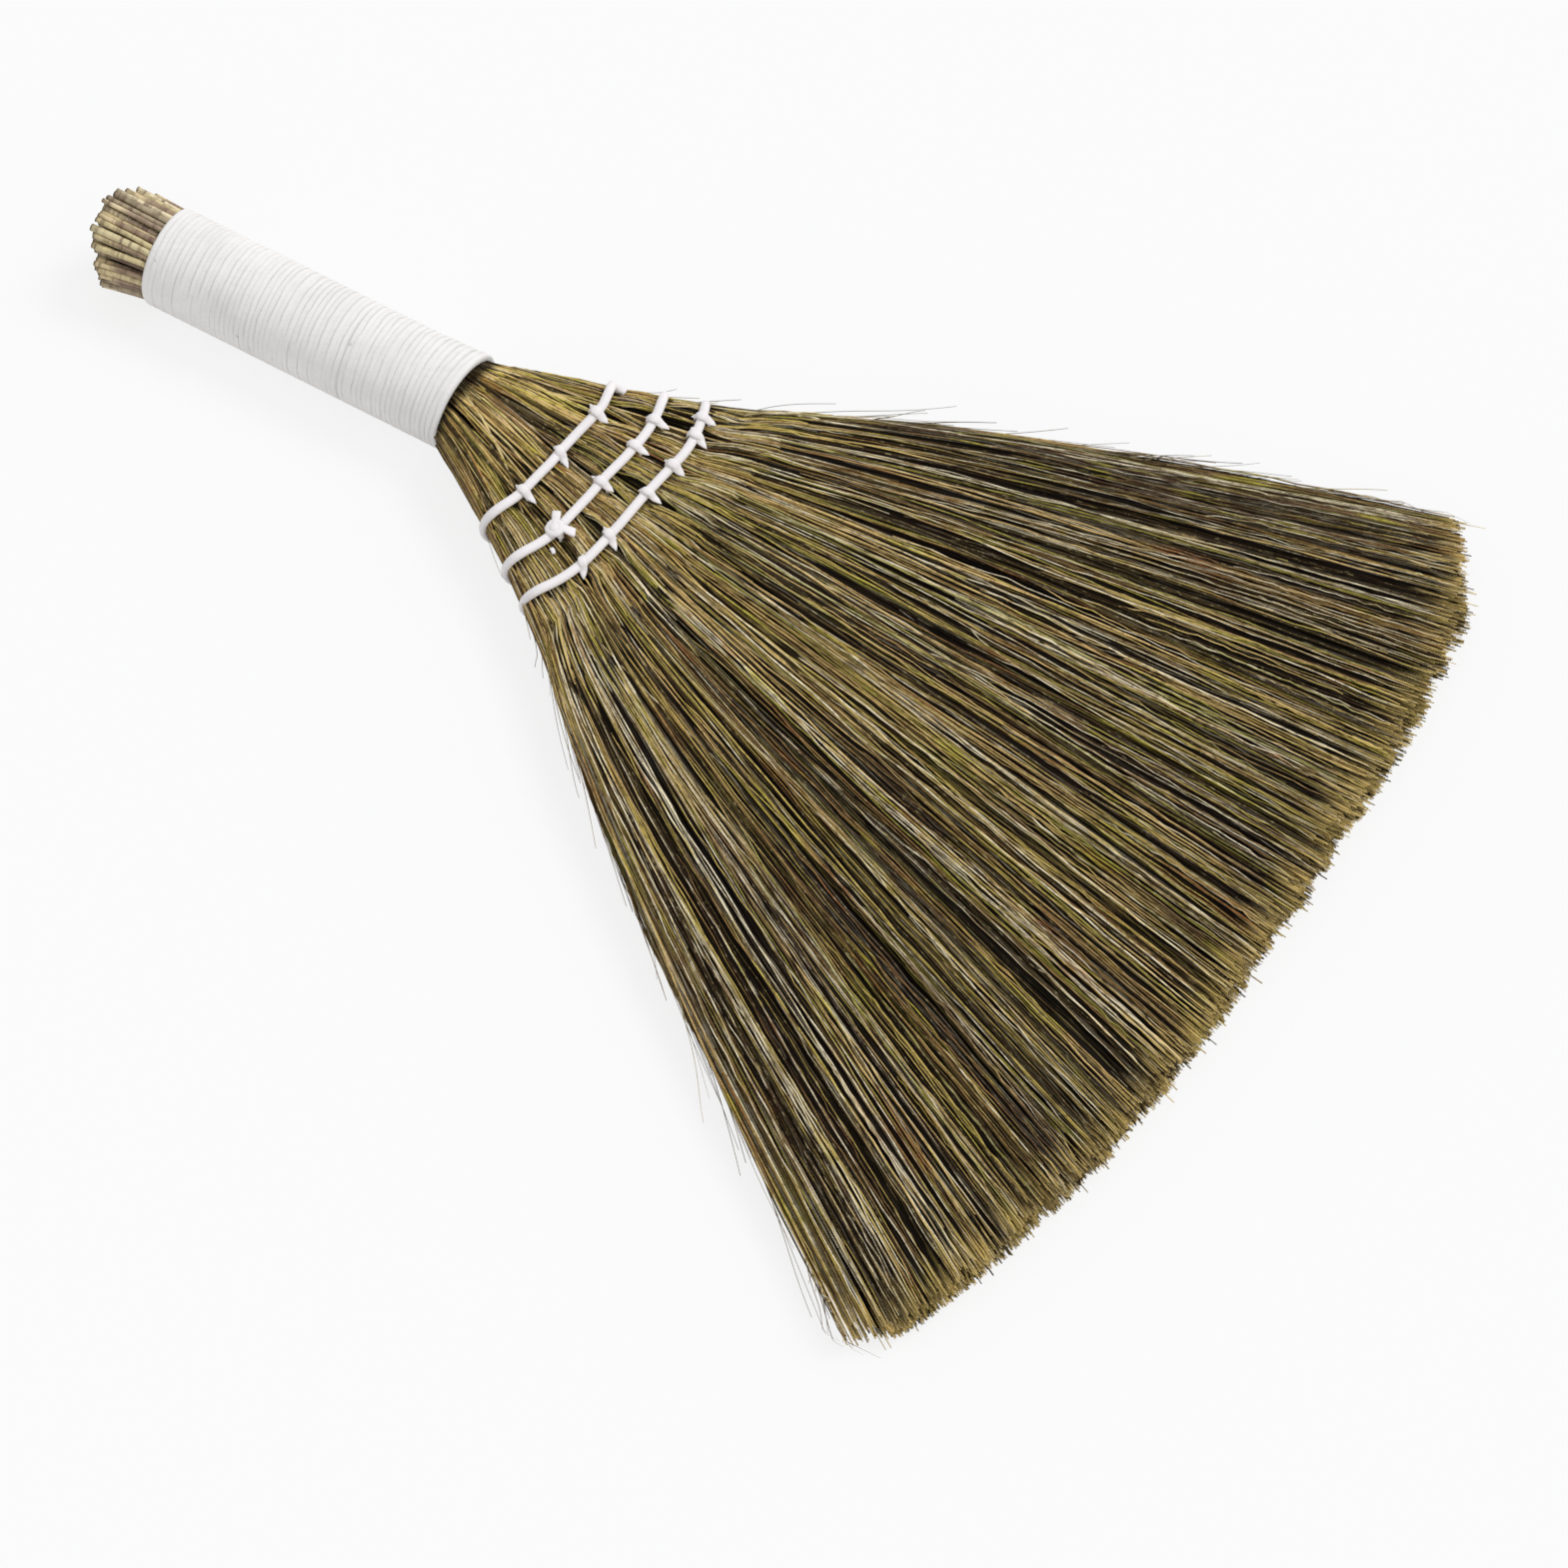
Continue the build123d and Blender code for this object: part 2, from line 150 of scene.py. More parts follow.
# The camera of the photo, in the frame of the part. Its clipping distances are in metres.
CAMERA_AT = (476.6, -730.9, 1615.8)
CAMERA_AIM = (71.6, -21.1, 12.0)
CAMERA_LENS = 121.47
CAMERA_SENSOR = 36
CAMERA_CLIP = (0.01, 50)

# The light, in metres, and the floor's shades where it takes light and where it is seen
SUN_AT = (0.6, 0.9, 1.3)
SUN_WAY = (-0.62, -0.75, -1.25)
SUN_SPREAD = radians(28)
SEEN_SKY = 0.97
FLOOR_PLAIN, FLOOR_SEEN, FLOOR_GLOW = (0.9, 0.9, 0.9), (0.15, 0.15, 0.152), 0.815
BUMP_STRENGTH = 0.5

# Strips of the map that the straws and the stalks of a sheaf share, and where their ends are.
# The strips of straws go by threes, one for each layer, and those of stalks by twos.
CELLS = 390
LAYERS = 3
LAST_SHARE = 0.9999
STALK_CELLS = 120
CELL_SHARE = 0.9
WAY_START = 0.012
WAY_LENGTH = 0.955
STEM_WAY = 0.9
BUTT_WAY, TIP_WAY, END_SPAN = 0.004, 0.985, 0.01

# What chance starts from, for each kind of piece
SHEAF_SEED, STALK_SEED, WINDING_SEED, ROW_SEED, STITCH_SEED = 100, 5, 11, 40, 300

# The neck, where the winding ends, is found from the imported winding
winding_low, winding_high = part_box("grip_winding")
NECK_X = winding_high.x / MM + WINDING_END_GAP
NECK_Y = (winding_low.y + winding_high.y) / 2 / MM


# The shape of the head

def blend(start, end, share):
    """The value a share of the way from start to end."""
    return start + (end - start) * share


def placed(along, across, up):
    """Points in the frame of the part, in metres, of points of the head."""
    x = along * cos(HEAD_YAW) + across * sin(HEAD_YAW) + NECK_X
    y = across * cos(HEAD_YAW) - along * sin(HEAD_YAW) + NECK_Y
    return np.stack([x, y, up + 0 * x], -1) * MM


def centre_height(along):
    """The height of the head's middle, which sinks towards the tips."""
    return AXIS_HEIGHT - SINK_SLOPE * along


def half_width(along):
    return np.interp(along, SECTION_ALONG, SECTION_WIDTHS)


def half_height(along):
    return np.interp(along, SECTION_ALONG, SECTION_HEIGHTS)


def edge_share(along, u):
    """How much of its middle thickness the head has at a place across it."""
    power = np.interp(along, SECTION_ALONG, SECTION_POWERS)
    return (1 - np.minimum(np.abs(u), OUTERMOST_SHARE) ** power) ** (1 / power)


def tip_place(u, length_share):
    """Where the tip of a straw lies: along and across the head."""
    reach = FAN_REACH * np.interp(u, *zip(*REACH_SHARES)) * length_share
    return reach * np.cos(FAN_ANGLE * u) - FAN_CENTRE_BACK, reach * np.sin(FAN_ANGLE * u)


def row_edge(row):
    """How far out a row cord turns round the head's edge."""
    return half_width(ROW_DISTANCES[row]) + CORD_FIT + ROW_CORD_RADIUS


def row_line(row, out):
    """Distance along the head of a row cord at a distance from the head's middle."""
    edge = row_edge(row)
    bend = half_width(ROW_DISTANCES[row]) * ROW_BEND_SHARE
    rise = np.clip((edge - np.abs(out)) / (edge - bend), 0, 1)
    rise = rise * (2 - rise)
    return ROW_DISTANCES[row] + ROW_BULGES[row] * rise


def row_puff(along, u):
    """How far the straw swells out between the rows of cord."""
    rows = [row_line(row, u * half_width(at)) for row, at in enumerate(ROW_DISTANCES)]
    nearest = np.min([np.abs(along - at) for at in rows], axis=0)
    inside = (along > PUFF_FROM) & (along < PUFF_TO)
    swell = PUFF_HEIGHT * (1 - np.exp(-(nearest / PUFF_REACH) ** 2)) - PUFF_FIT
    return np.where(inside, swell, 0)


def row_parting(along, u):
    """How far straws stand aside of the stitches, which pull the straw in between them."""
    aside = 0
    for row, places in enumerate(STITCH_PLACES):
        for place in places:
            at = row_line(row, half_width(ROW_DISTANCES[row]) * place / SHEAVES)
            off = (u - place / SHEAVES) * half_width(along)
            back = along - at + PARTING_BACK
            near = np.exp(-(back / PARTING_LENGTH) ** 2 - (off / PARTING_WIDTH) ** 2)
            aside = aside + np.sign(off) * PARTING * near
    return aside


# Bunches of straws

def face_outward():
    """Turns all faces of the active piece outward."""
    bpy.ops.object.mode_set(mode="EDIT")
    bpy.ops.mesh.select_all(action="SELECT")
    bpy.ops.mesh.normals_make_consistent(inside=False)
    bpy.ops.object.mode_set(mode="OBJECT")


def unit_strand(sides, rings):
    """A straw along +X with a ring of corners at each whole number, made once and copied."""
    bpy.ops.object.select_all(action="DESELECT")
    bpy.ops.mesh.primitive_circle_add(vertices=sides, radius=1, fill_type="NGON",
                                      location=(0, 0, 0), rotation=(0, pi / 2, 0))
    bpy.ops.object.transform_apply(location=True, rotation=True, scale=True)
    strand = bpy.context.object
    bpy.ops.object.mode_set(mode="EDIT")
    bpy.ops.mesh.select_all(action="SELECT")
    for _ in range(rings):
        bpy.ops.mesh.extrude_region_move(TRANSFORM_OT_translate={"value": (1, 0, 0)})
    face_outward()
    mesh = strand.data
    corners = np.array([tuple(v.co) for v in mesh.vertices])
    ring = np.rint(corners[:, 0]).astype(int)
    angle = np.arctan2(corners[:, 2], corners[:, 1])
    side = np.rint((angle - angle.min()) / (2 * pi / sides)).astype(int) % sides
    faces = [tuple(face.vertices) for face in mesh.polygons]
    bpy.data.objects.remove(strand)
    bpy.data.meshes.remove(mesh)
    return Strand(sides, rings, ring, side, faces)


class Strand:
    """The corners and faces of one straw, and where each corner lies on its own map."""

    def __init__(self, sides, rings, ring, side, faces):
        self.rings, self.ring, self.angle = rings, ring, 2 * pi * side / sides
        self.loops = np.concatenate([np.array(face) for face in faces])
        self.starts = np.cumsum([0] + [len(face) for face in faces])[:-1]
        turn, cap = [], []
        for face in faces:
            ends = len({ring[v] for v in face}) == 1
            wraps = not ends and {0, sides - 1} <= {side[v] for v in face}
            for s in side[list(face)]:
                turn.append((s + sides if wraps and s == 0 else s) / sides)
                cap.append(ends)
        self.turn, self.cap = np.array(turn), np.array(cap)

    def steps(self):
        """The share of its length at each ring."""
        return np.linspace(0, 1, self.rings + 1)[None, :]

    def laid(self, path, width, flat, cell, cell_width, way, twist):
        """Corners, loops, face starts and map places of copies of the straw along paths."""
        along = np.gradient(path, axis=1)
        along /= np.linalg.norm(along, axis=2, keepdims=True) + TINY
        side = np.cross(along, (0, 0, 1))
        side /= np.linalg.norm(side, axis=2, keepdims=True) + TINY
        up = np.cross(side, along)
        angle = self.angle[None, :] + twist[:, None]
        wide = (width / 2)[:, self.ring] * MM
        corners = (path[:, self.ring]
                   + side[:, self.ring] * (wide * np.cos(angle))[..., None]
                   + up[:, self.ring] * (wide * flat * np.sin(angle))[..., None])
        copies = np.arange(path.shape[0])[:, None]
        loops = self.loops[None, :] + len(self.ring) * copies
        starts = self.starts[None, :] + len(self.loops) * copies
        ring = self.ring[self.loops]
        end_turn = np.cos(2 * pi * self.turn) / 2 + 0.5
        end_up = np.sin(2 * pi * self.turn) / 2 + 0.5
        across = cell[:, None] + cell_width * np.where(self.cap, end_turn, self.turn)[None, :]
        end_way = np.where(ring == self.rings, TIP_WAY, BUTT_WAY) + END_SPAN * end_up
        ways = np.where(self.cap, end_way, way[:, ring])
        return corners.reshape(-1, 3), loops.ravel(), starts.ravel(), across.ravel(), ways.ravel()


def mapped(mesh, layer, places):
    """Gives a mesh a map, with the place on it of each corner of each face."""
    mesh.uv_layers.new(name=layer).data.foreach_set("uv", np.array(places, float).ravel())


def new_piece(name, mesh):
    piece = bpy.data.objects.new(name, mesh)
    bpy.context.collection.objects.link(piece)
    return piece


def bunch(name, parts, number):
    """One piece from many straws. Its map runs across the bunch and along the straws."""
    sizes = [(len(part[0]), len(part[1])) for part in parts]
    bases = np.cumsum([(0, 0)] + sizes, axis=0)
    corners = np.clip(np.concatenate([part[0] for part in parts]), *CAD_BOX)
    loops = np.concatenate([part[1] + base[0] for part, base in zip(parts, bases)])
    starts = np.concatenate([part[2] + base[1] for part, base in zip(parts, bases)])
    across, ways = (np.concatenate([part[place] for part in parts]) for place in (3, 4))
    low, high = number / SHEAVES, (number + 1) / SHEAVES
    mesh = bpy.data.meshes.new(name)
    mesh.vertices.add(len(corners))
    mesh.vertices.foreach_set("co", corners.ravel())
    mesh.loops.add(len(loops))
    mesh.loops.foreach_set("vertex_index", loops.astype(np.int32))
    mesh.polygons.add(len(starts))
    mesh.polygons.foreach_set("loop_start", starts.astype(np.int32))
    mesh.polygons.foreach_set("use_smooth", np.ones(len(starts), bool))
    mesh.update(calc_edges=True)
    mesh.validate()
    for layer, u in (("OFBake", across), ("Fan", low + (high - low) * across)):
        mapped(mesh, layer, np.stack([u, ways], -1))
    return new_piece(name, mesh)


def head_points(u, high, along, tips):
    """Points of straws: u across the head, high from its underside (-1) to its top (1)."""
    tip_along, tip_across = tips
    root_across = HEAD_SWAY + half_width(FAN_ROOT) * u
    share = np.clip((along - FAN_ROOT) / (tip_along - FAN_ROOT), 0, 1)
    bulge = FAN_BULGE * u * np.sin(pi * share ** FAN_BULGE_POWER)
    fan = blend(root_across, tip_across, share) + bulge
    sway = HEAD_SWAY * np.clip(along / SHOULDER, 0, 1)
    across = np.where(along < FAN_ROOT, sway + half_width(along) * u, fan)
    thick = blend(half_height(along), TIP_MIDDLE - TIP_FIT, share)
    up = high * (thick * edge_share(along, u) + row_puff(along, u))
    return across, up + centre_height(along), share


class StrawSizes(bpy.types.PropertyGroup):
    straw_width: bpy.props.FloatProperty(
        name="Straw width", description="Thickness of one fine straw", default=0.00088,
        min=0.0003, max=0.003, precision=5, subtype="DISTANCE", unit="LENGTH")
    stem_width: bpy.props.FloatProperty(
        name="Stem width", description="Thickness of a stem where it leaves the neck",
        default=0.0023, min=0.001, max=0.005, precision=5, subtype="DISTANCE", unit="LENGTH")
    straws_in_sheaf: bpy.props.IntProperty(
        name="Straws in a sheaf",
        description="About how many fine straws each sheaf has",
        default=2400, min=100, max=4000)
    stems_in_sheaf: bpy.props.IntProperty(
        name="Stems in a sheaf", description="How many thick stems leave the neck in each sheaf",
        default=26, min=4, max=60)
    waviness: bpy.props.FloatProperty(
        name="Waviness", description="How far a straw strays from its line",
        default=0.0011, min=0.0, max=0.005, precision=5, subtype="DISTANCE", unit="LENGTH")
    tip_raggedness: bpy.props.FloatProperty(
        name="Tip raggedness", description="Share of its length by which a tip may be short",
        default=0.011, min=0.0, max=0.1, subtype="FACTOR")
    green: bpy.props.FloatVectorProperty(
        name="Green", description="Colour of the greener straws", subtype="COLOR",
        default=(0.585, 0.45, 0.125), min=0.0, max=1.0)
    tan: bpy.props.FloatVectorProperty(
        name="Tan", description="Colour of the drier straws", subtype="COLOR",
        default=(0.79, 0.565, 0.235), min=0.0, max=1.0)
    brown: bpy.props.FloatVectorProperty(
        name="Brown", description="Colour of the browned straws", subtype="COLOR",
        default=(0.22, 0.115, 0.045), min=0.0, max=1.0)


class CordSizes(bpy.types.PropertyGroup):
    winding_turns: bpy.props.IntProperty(
        name="Winding turns", description="How often the cord goes round the grip",
        default=30, min=10, max=60)
    row_cord_width: bpy.props.FloatProperty(
        name="Row cord width", description="Thickness of the cord of the three rows",
        default=0.0035, min=0.001, max=0.006, precision=5, subtype="DISTANCE", unit="LENGTH")
    stitch_width: bpy.props.FloatProperty(
        name="Stitch width", description="Width of the cord of a stitch on top of its row",
        default=0.0036, min=0.001, max=0.006, precision=5, subtype="DISTANCE", unit="LENGTH")
    winding_white: bpy.props.FloatVectorProperty(
        name="Winding colour", description="Colour of the grip's cord", subtype="COLOR",
        default=(0.88, 0.865, 0.85), min=0.0, max=1.0)
    row_white: bpy.props.FloatVectorProperty(
        name="Row cord colour", description="Colour of the rows' cord", subtype="COLOR",
        default=(0.90, 0.865, 0.88), min=0.0, max=1.0)


class StageSizes(bpy.types.PropertyGroup):
    floor_size: bpy.props.FloatProperty(
        name="Floor size", description="Length of each side of the floor",
        default=12.0, min=2.0, max=40.0, subtype="DISTANCE", unit="LENGTH")
    sun_strength: bpy.props.FloatProperty(
        name="Sun strength", description="Strength of the soft light from one side",
        default=1.45, min=0.0, max=10.0)
    sky_strength: bpy.props.FloatProperty(
        name="Sky strength", description="Strength of the even light from all sides",
        default=0.65, min=0.0, max=2.0)


# Finishes

class Value:
    """A shader value or colour, with the usual sums."""

    def __init__(self, nodes, socket):
        self.nodes, self.socket = nodes, socket

    def sum(self, operation, *others, clamp=False):
        return self.nodes.node("ShaderNodeMath", {"operation": operation, "use_clamp": clamp},
                               dict(enumerate(others)))

    def __add__(self, other):
        return self.sum("ADD", self, other)

    def __radd__(self, other):
        return self.sum("ADD", other, self)

    def __sub__(self, other):
        return self.sum("SUBTRACT", self, other)

    def __rsub__(self, other):
        return self.sum("SUBTRACT", other, self)

    def __mul__(self, other):
        return self.sum("MULTIPLY", self, other)

    def __rmul__(self, other):
        return self.sum("MULTIPLY", other, self)

    def __truediv__(self, other):
        return self.sum("DIVIDE", self, other)

    def __gt__(self, other):
        return self.sum("GREATER_THAN", self, other)

    def floor(self):
        return self.sum("FLOOR", self)

    def size(self):
        return self.sum("ABSOLUTE", self)

    def clamped(self):
        return self.sum("ADD", self, 0.0, clamp=True)


class Nodes:
    """The nodes of a material or of the world."""

    def __init__(self, tree):
        self.tree = tree

    def fill(self, made, values):
        """Gives the sockets of a node their values or links."""
        for name, value in values.items():
            if isinstance(value, Value):
                self.tree.links.new(value.socket, made.inputs[name])
            else:
                made.inputs[name].default_value = value

    def node(self, kind, settings=None, values=None, output=0):
        """Makes a node and returns one of its outputs."""
        made = self.tree.nodes.new(kind)
        for name, value in (settings or {}).items():
            setattr(made, name, value)
        self.fill(made, values or {})
        return Value(self, made.outputs[output])

    def seen(self):
        """1 for the rays in which a backdrop is seen, straight or mirrored, and else 0."""
        camera, glossy, through = (
            self.node("ShaderNodeLightPath", output=f"Is {name} Ray")
            for name in ("Camera", "Glossy", "Transmission"))
        return (camera + glossy + through).clamped()


class Finish(Nodes):
    """A material and the nodes that make it."""

    def __init__(self, name, values):
        self.material = bpy.data.materials.new(name)
        self.material.use_nodes = True
        super().__init__(self.material.node_tree)
        self.give(values)

    def give(self, values):
        self.fill(self.tree.nodes["Principled BSDF"], values)

    def vector(self, x, y, z=0.0):
        return self.node("ShaderNodeCombineXYZ", values={"X": x, "Y": y, "Z": z})

    def noise(self, vector, scale, detail=2.0, roughness=0.5):
        return self.node("ShaderNodeTexNoise", values={
            "Vector": vector, "Scale": scale, "Detail": detail, "Roughness": roughness})

    def chance(self, number, seed):
        return self.node("ShaderNodeTexWhiteNoise", {"noise_dimensions": "1D"},
                         {"W": number + seed})

    def mix(self, share, first, second):
        first, second = (colour if isinstance(colour, Value) else (*colour, 1)
                         for colour in (first, second))
        return self.node("ShaderNodeMix", {"data_type": "RGBA"},
                         {0: share, 6: first, 7: second}, output=2)

    def tinted(self, colour, *tints):
        """A colour after each tint in turn is mixed in by its share."""
        for share, tint in tints:
            colour = self.mix(share, colour, tint)
        return colour

    def map(self, layer):
        """The two directions of a map."""
        both = self.node("ShaderNodeUVMap", {"uv_map": layer})
        return (self.node("ShaderNodeSeparateXYZ", values={0: both}, output=axis)
                for axis in (0, 1))

    def place(self):
        return self.node("ShaderNodeTexCoord", output="Object")

    def done(self, colour, height, relief):
        """The material, once it has its colour and a relief as deep as given, in metres."""
        bump = self.node("ShaderNodeBump", values={
            "Height": height, "Strength": BUMP_STRENGTH, "Distance": relief})
        self.give({"Base Color": colour, "Normal": bump})
        return self.material


def step(value, low, high):
    """0 below low, 1 above high, and a slope between."""
    return ((value - low) / (high - low)).clamped()


def straw_finish(sizes):
    """Straws in many tones, with painted shade under the skin. The map's strips go by threes:
    shown, under them and inside.
    """
    finish = Finish("straw", {"Specular IOR Level": 0.06})
    u, v = finish.map("Fan")
    cell = (u * (SHEAVES * CELLS)).floor()
    depth = cell - (cell / LAYERS).floor() * LAYERS
    tone, kind, third = (finish.chance(cell, seed) for seed in (0.37, 511.3, 90.7))

    def patches(across, along, shift, detail, roughness=0.5):
        """Noise in patches of the fan: how many across it and along it, and from where."""
        way = finish.vector(u * across + shift, v * along)
        return finish.noise(way, 1.0, detail, roughness)

    def stretches(seed, along, detail, roughness=0.5):
        """Noise along each straw by itself."""
        return finish.noise(finish.vector(cell * seed, v * along), 1.0, detail, roughness)

    drier = step(patches(17, 2.4, 0, 3.0, 0.6) + (kind - 0.5) * 0.6, 0.38, 0.60)
    browner = step(patches(24, 2.0, 40, 2.0, 0.6) + (tone - 0.5) * 0.5, 0.50, 0.66)
    lower = (v - 0.5) * 0.12 + step(u, 0.80, 0.97) * 0.10
    purple = step(patches(14, 2.6, 11, 2.0) + lower, 0.57, 0.68) * (kind > 0.3)
    rust = step(patches(34, 9, 71, 1.0), 0.60, 0.70)
    leafy = step(patches(52, 12, 23, 2.0), 0.54, 0.66) * (kind > 0.35)
    past_head = step(v, 0.12, 0.3)
    # The palest straws catch the light over short lengths
    glint = step(stretches(3.91, 34, 2.0), 0.40, 0.56)
    pale = (third > 0.60) * (0.3 + 0.6 * past_head) * (0.15 + 0.85 * glint)
    fleck = step(stretches(7.31, 30, 1.0), 0.60, 0.75)
    grain = stretches(5.13, 120, 2.0, 0.6)
    # Painted shade over short stretches of each straw past the head
    dim = step(stretches(9.7, 26, 1.0), 0.50, 0.66) * past_head
    # Painted shadow of the winding on the straws just past the neck
    neck = 1 - step(v, 0.019, 0.027)
    # Straws under the skin are painted darker as shade, but their cut tips are not
    tip = step(v + (kind - 0.5) * 0.04, 0.945, 0.966)
    under = step(depth, 0.0, 2.0)
    shade = (1 - (1 - under) * (1 - under * 0.88)) * (1 - tip * (0.4 + 0.6 * third))
    colour = finish.mix(drier, tuple(sizes.green), tuple(sizes.tan))
    colour = finish.tinted(
        colour,
        (browner * 0.85, tuple(sizes.brown)),
        (purple * 0.78, (0.072, 0.036, 0.032)),
        (rust * 0.65, (0.33, 0.125, 0.045)),
        (leafy * 0.7, (0.56, 0.51, 0.065)),
        (pale, (1.0, 0.91, 0.68)),
        ((tone > 0.92) * 0.7, (0.40, 0.38, 0.075)),
        ((1 - kind > 0.80) * 0.9, (0.018, 0.010, 0.010)),
        (fleck * 0.5, (0.08, 0.045, 0.025)),
        (step(grain, 0.52, 0.66) * 0.5, (0.10, 0.055, 0.028)),
        (step(1 - grain, 0.56, 0.70) * 0.3, (0.90, 0.76, 0.40)),
        (neck * 0.92, (0.012, 0.007, 0.005)),
        (tip * 0.75 * (0.5 + tone), (0.84, 0.62, 0.22)),
        (shade * 0.985, (0.004, 0.002, 0.002)),
        (step(v, 0.975, 0.98) * 0.8, (0.22, 0.15, 0.07)),
        (dim * 0.25, (0.045, 0.026, 0.014)))
    finish.give({"Roughness": 0.42 + tone * 0.25})
    return finish.done(colour, grain, 0.2 * MM)


def stalk_finish():
    """Stalks in many tones, with painted shade on those under the shown ones. The map's strips go
    by twos: shown and under them.
    """
    finish = Finish("stalk", {"Roughness": 0.6, "Specular IOR Level": 0.2})
    u, v = finish.map("Fan")
    cell = (u * (SHEAVES * STALK_CELLS)).floor()
    under = cell - (cell / 2).floor() * 2
    tone, kind = finish.chance(cell, 3.7), finish.chance(cell, 77.1)
    streak = finish.noise(finish.vector(u * 1800, v * 5), 1.0, 2.0)
    blotch = finish.noise(finish.vector(cell * 3.7, v * 9), 1.0, 3.0, 0.6)
    red_root = step(1 - v, 0.30, 0.44) * (kind > 0.5)
    # The cut ends are browned. Stalks inside the bundle are painted dark as shade, less so at
    # their cut ends
    under = under * (0.9 - 0.7 * step(v, 0.70, 0.95))
    colour = finish.tinted(
        finish.mix(kind, (0.64, 0.55, 0.30), (0.74, 0.59, 0.37)),
        (step(tone, 0.5, 0.8) * 0.75, (0.90, 0.80, 0.57)),
        ((tone > 0.8) * 0.6, (0.16, 0.10, 0.06)),
        (step(blotch, 0.50, 0.66) * 0.75, (0.14, 0.075, 0.055)),
        (step(streak, 0.50, 0.70) * 0.45, (0.09, 0.055, 0.03)),
        (red_root * 0.6, (0.16, 0.085, 0.08)),
        (step(v, 0.925, 0.965) * 0.75, (0.05, 0.032, 0.022)),
        (under, (0.010, 0.007, 0.005)),
        (step(v, 0.975, 0.98) * 0.8, (0.24, 0.17, 0.09)))
    return finish.done(colour, streak, 0.4 * MM)


def cord_finish(name, white, grime_and_shade, doubled=False):
    """Soft cotton cord: fine strands laid along it at a slant, a little wear, and painted shade in
    the grooves of doubled cord.
    """
    finish = Finish(name, {"Roughness": 0.85, "Sheen Weight": 0.15})
    around, along = finish.map("Lay")
    place = finish.place()

    def spots(scale, detail=2.0, roughness=0.5):
        return finish.noise(place, scale, detail, roughness)

    lay = finish.noise(finish.vector(around * 9 + along * 0.9, along * 0.35), 1.0, 2.0)
    shade = tuple(c * grime_and_shade for c in white)
    colour = finish.tinted(
        white,
        (step(spots(60.0, 3.0, 0.6), 0.42, 0.72) * 0.6, (*shade[:2], shade[2] * 0.985)),
        (step(lay, 0.5, 0.8) * 0.35, shade),
        (step(spots(260.0, 1.0), 0.78, 0.82) * 0.5, (0.45, 0.42, 0.38)))
    height = lay * 0.6 + spots(900.0, 3.0, 0.6) * 0.4
    if doubled:
        # Two cords lie side by side in each turn. The groove between them and the seams between
        # turns are pressed in and painted darker as shade
        stray = spots(120.0) * 0.05 - 0.025
        groove = (1 - step((around - 0.25 + stray).size(), 0.003, 0.015)) \
            * step(spots(45.0), 0.34, 0.56)
        seam = step((around - 0.25).size(), 0.082, 0.100) \
            * (0.35 + 0.65 * step(spots(70.0), 0.36, 0.60))
        line = groove + seam
        height = height - line * 1.2
        colour = finish.mix((line * 0.5).clamped(), colour, tuple(c * 0.8 for c in shade))
    return finish.done(colour, height, 0.3 * MM)


def tie_finish():
    """Plain undyed cord."""
    finish = Finish("tie_cord", {"Roughness": 0.85})
    fibre = finish.noise(finish.place(), 800.0, 2.0)
    finish.give({"Base Color": finish.mix(fibre, (0.72, 0.69, 0.62), (0.60, 0.56, 0.48))})
    return finish.material


def floor_finish():
    """A pale floor that takes shadows, and is nearly white where it is seen."""
    finish = Finish("floor", {})
    plain, shown = (finish.node("ShaderNodeBsdfDiffuse", values={"Color": (*colour, 1)})
                    for colour in (FLOOR_PLAIN, FLOOR_SEEN))
    glow = finish.node("ShaderNodeEmission",
                       values={"Color": (1, 1, 1, 1), "Strength": FLOOR_GLOW})
    both = finish.node("ShaderNodeAddShader", values={0: shown, 1: glow})
    choice = finish.node("ShaderNodeMixShader", values={0: finish.seen(), 1: plain, 2: both})
    finish.fill(finish.tree.nodes["Material Output"], {"Surface": choice})
    return finish.material


# Pieces

def finished(piece, node, material):
    """Gives a piece its finish and its body, and hides the node that it stands for."""
    piece.data.materials.append(material)
    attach(piece, "root")
    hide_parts(node)


# Kinds of straws on each face of the head, in the order in which they are laid. number is a
# share of the sheaf's straws, deep and level say how far under the skin they lie, start and end
# are distances from the neck, layer is 0 where they show and 2 inside, width is a share of a
# straw's width, pull draws them into clumps, rise lifts them and stray parts them.
StrawKind = namedtuple("StrawKind", "unit number deep level start layer width pull rise stray end",
                       defaults=(0.0, None))
FACE_STRAWS = (
    # The bound head's, between the neck and the last row
    StrawKind("fine", 0.015, 0.06, 1.0, (-4, 45), 0, (0.5, 1.05), 0.3, 0.4, end=(88, 140)),
    # The fan's: some run from the rows, the rest come up through it, and a few stray
    StrawKind("fine", 0.007, 0.06, 1.0, (30, 90), 0, (0.5, 0.95), 0.4, 0.9),
    StrawKind("fine", 0.016, 0.06, 1.0, (62, 265), 0, (0.4, 0.9), 0.45, 1.0),
    StrawKind("fine", 0.006, 0.06, 1.0, (60, 240), 0, (0.4, 0.65), 0.0, 1.8, stray=5.0),
    # The layers under them, painted darker as shade
    StrawKind("fine", 0.024, 0.10, 0.93, (-4, 200), 1, (0.45, 0.85), 0.35, 0.0),
    StrawKind("thin", 0.10, 0.10, 0.86, (-4, 120), 2, (0.7, 1.2), 0.12, 0.0),
)
# The inside, painted darkest as shade, which shows at the tips, the edges and through the gaps
INNER_STRAWS = StrawKind("short", 0.55, 0.0, 0.84, (-4, 90), 2, (0.8, 1.2), 0.1, 0.0)
# Stems: their number, level, layer, widths as shares, and the share that crosses others
StemKind = namedtuple("StemKind", "number level layer width crossing")
FACE_STEMS = (StemKind(0.42, 1.0, 0, (0.26, 0.56), 0.65), StemKind(0.4, 0.9, 1, (0.5, 0.9), 0.2))
STEM_DEEP = 0.05
UNDERSIDE_SHARE = 0.8
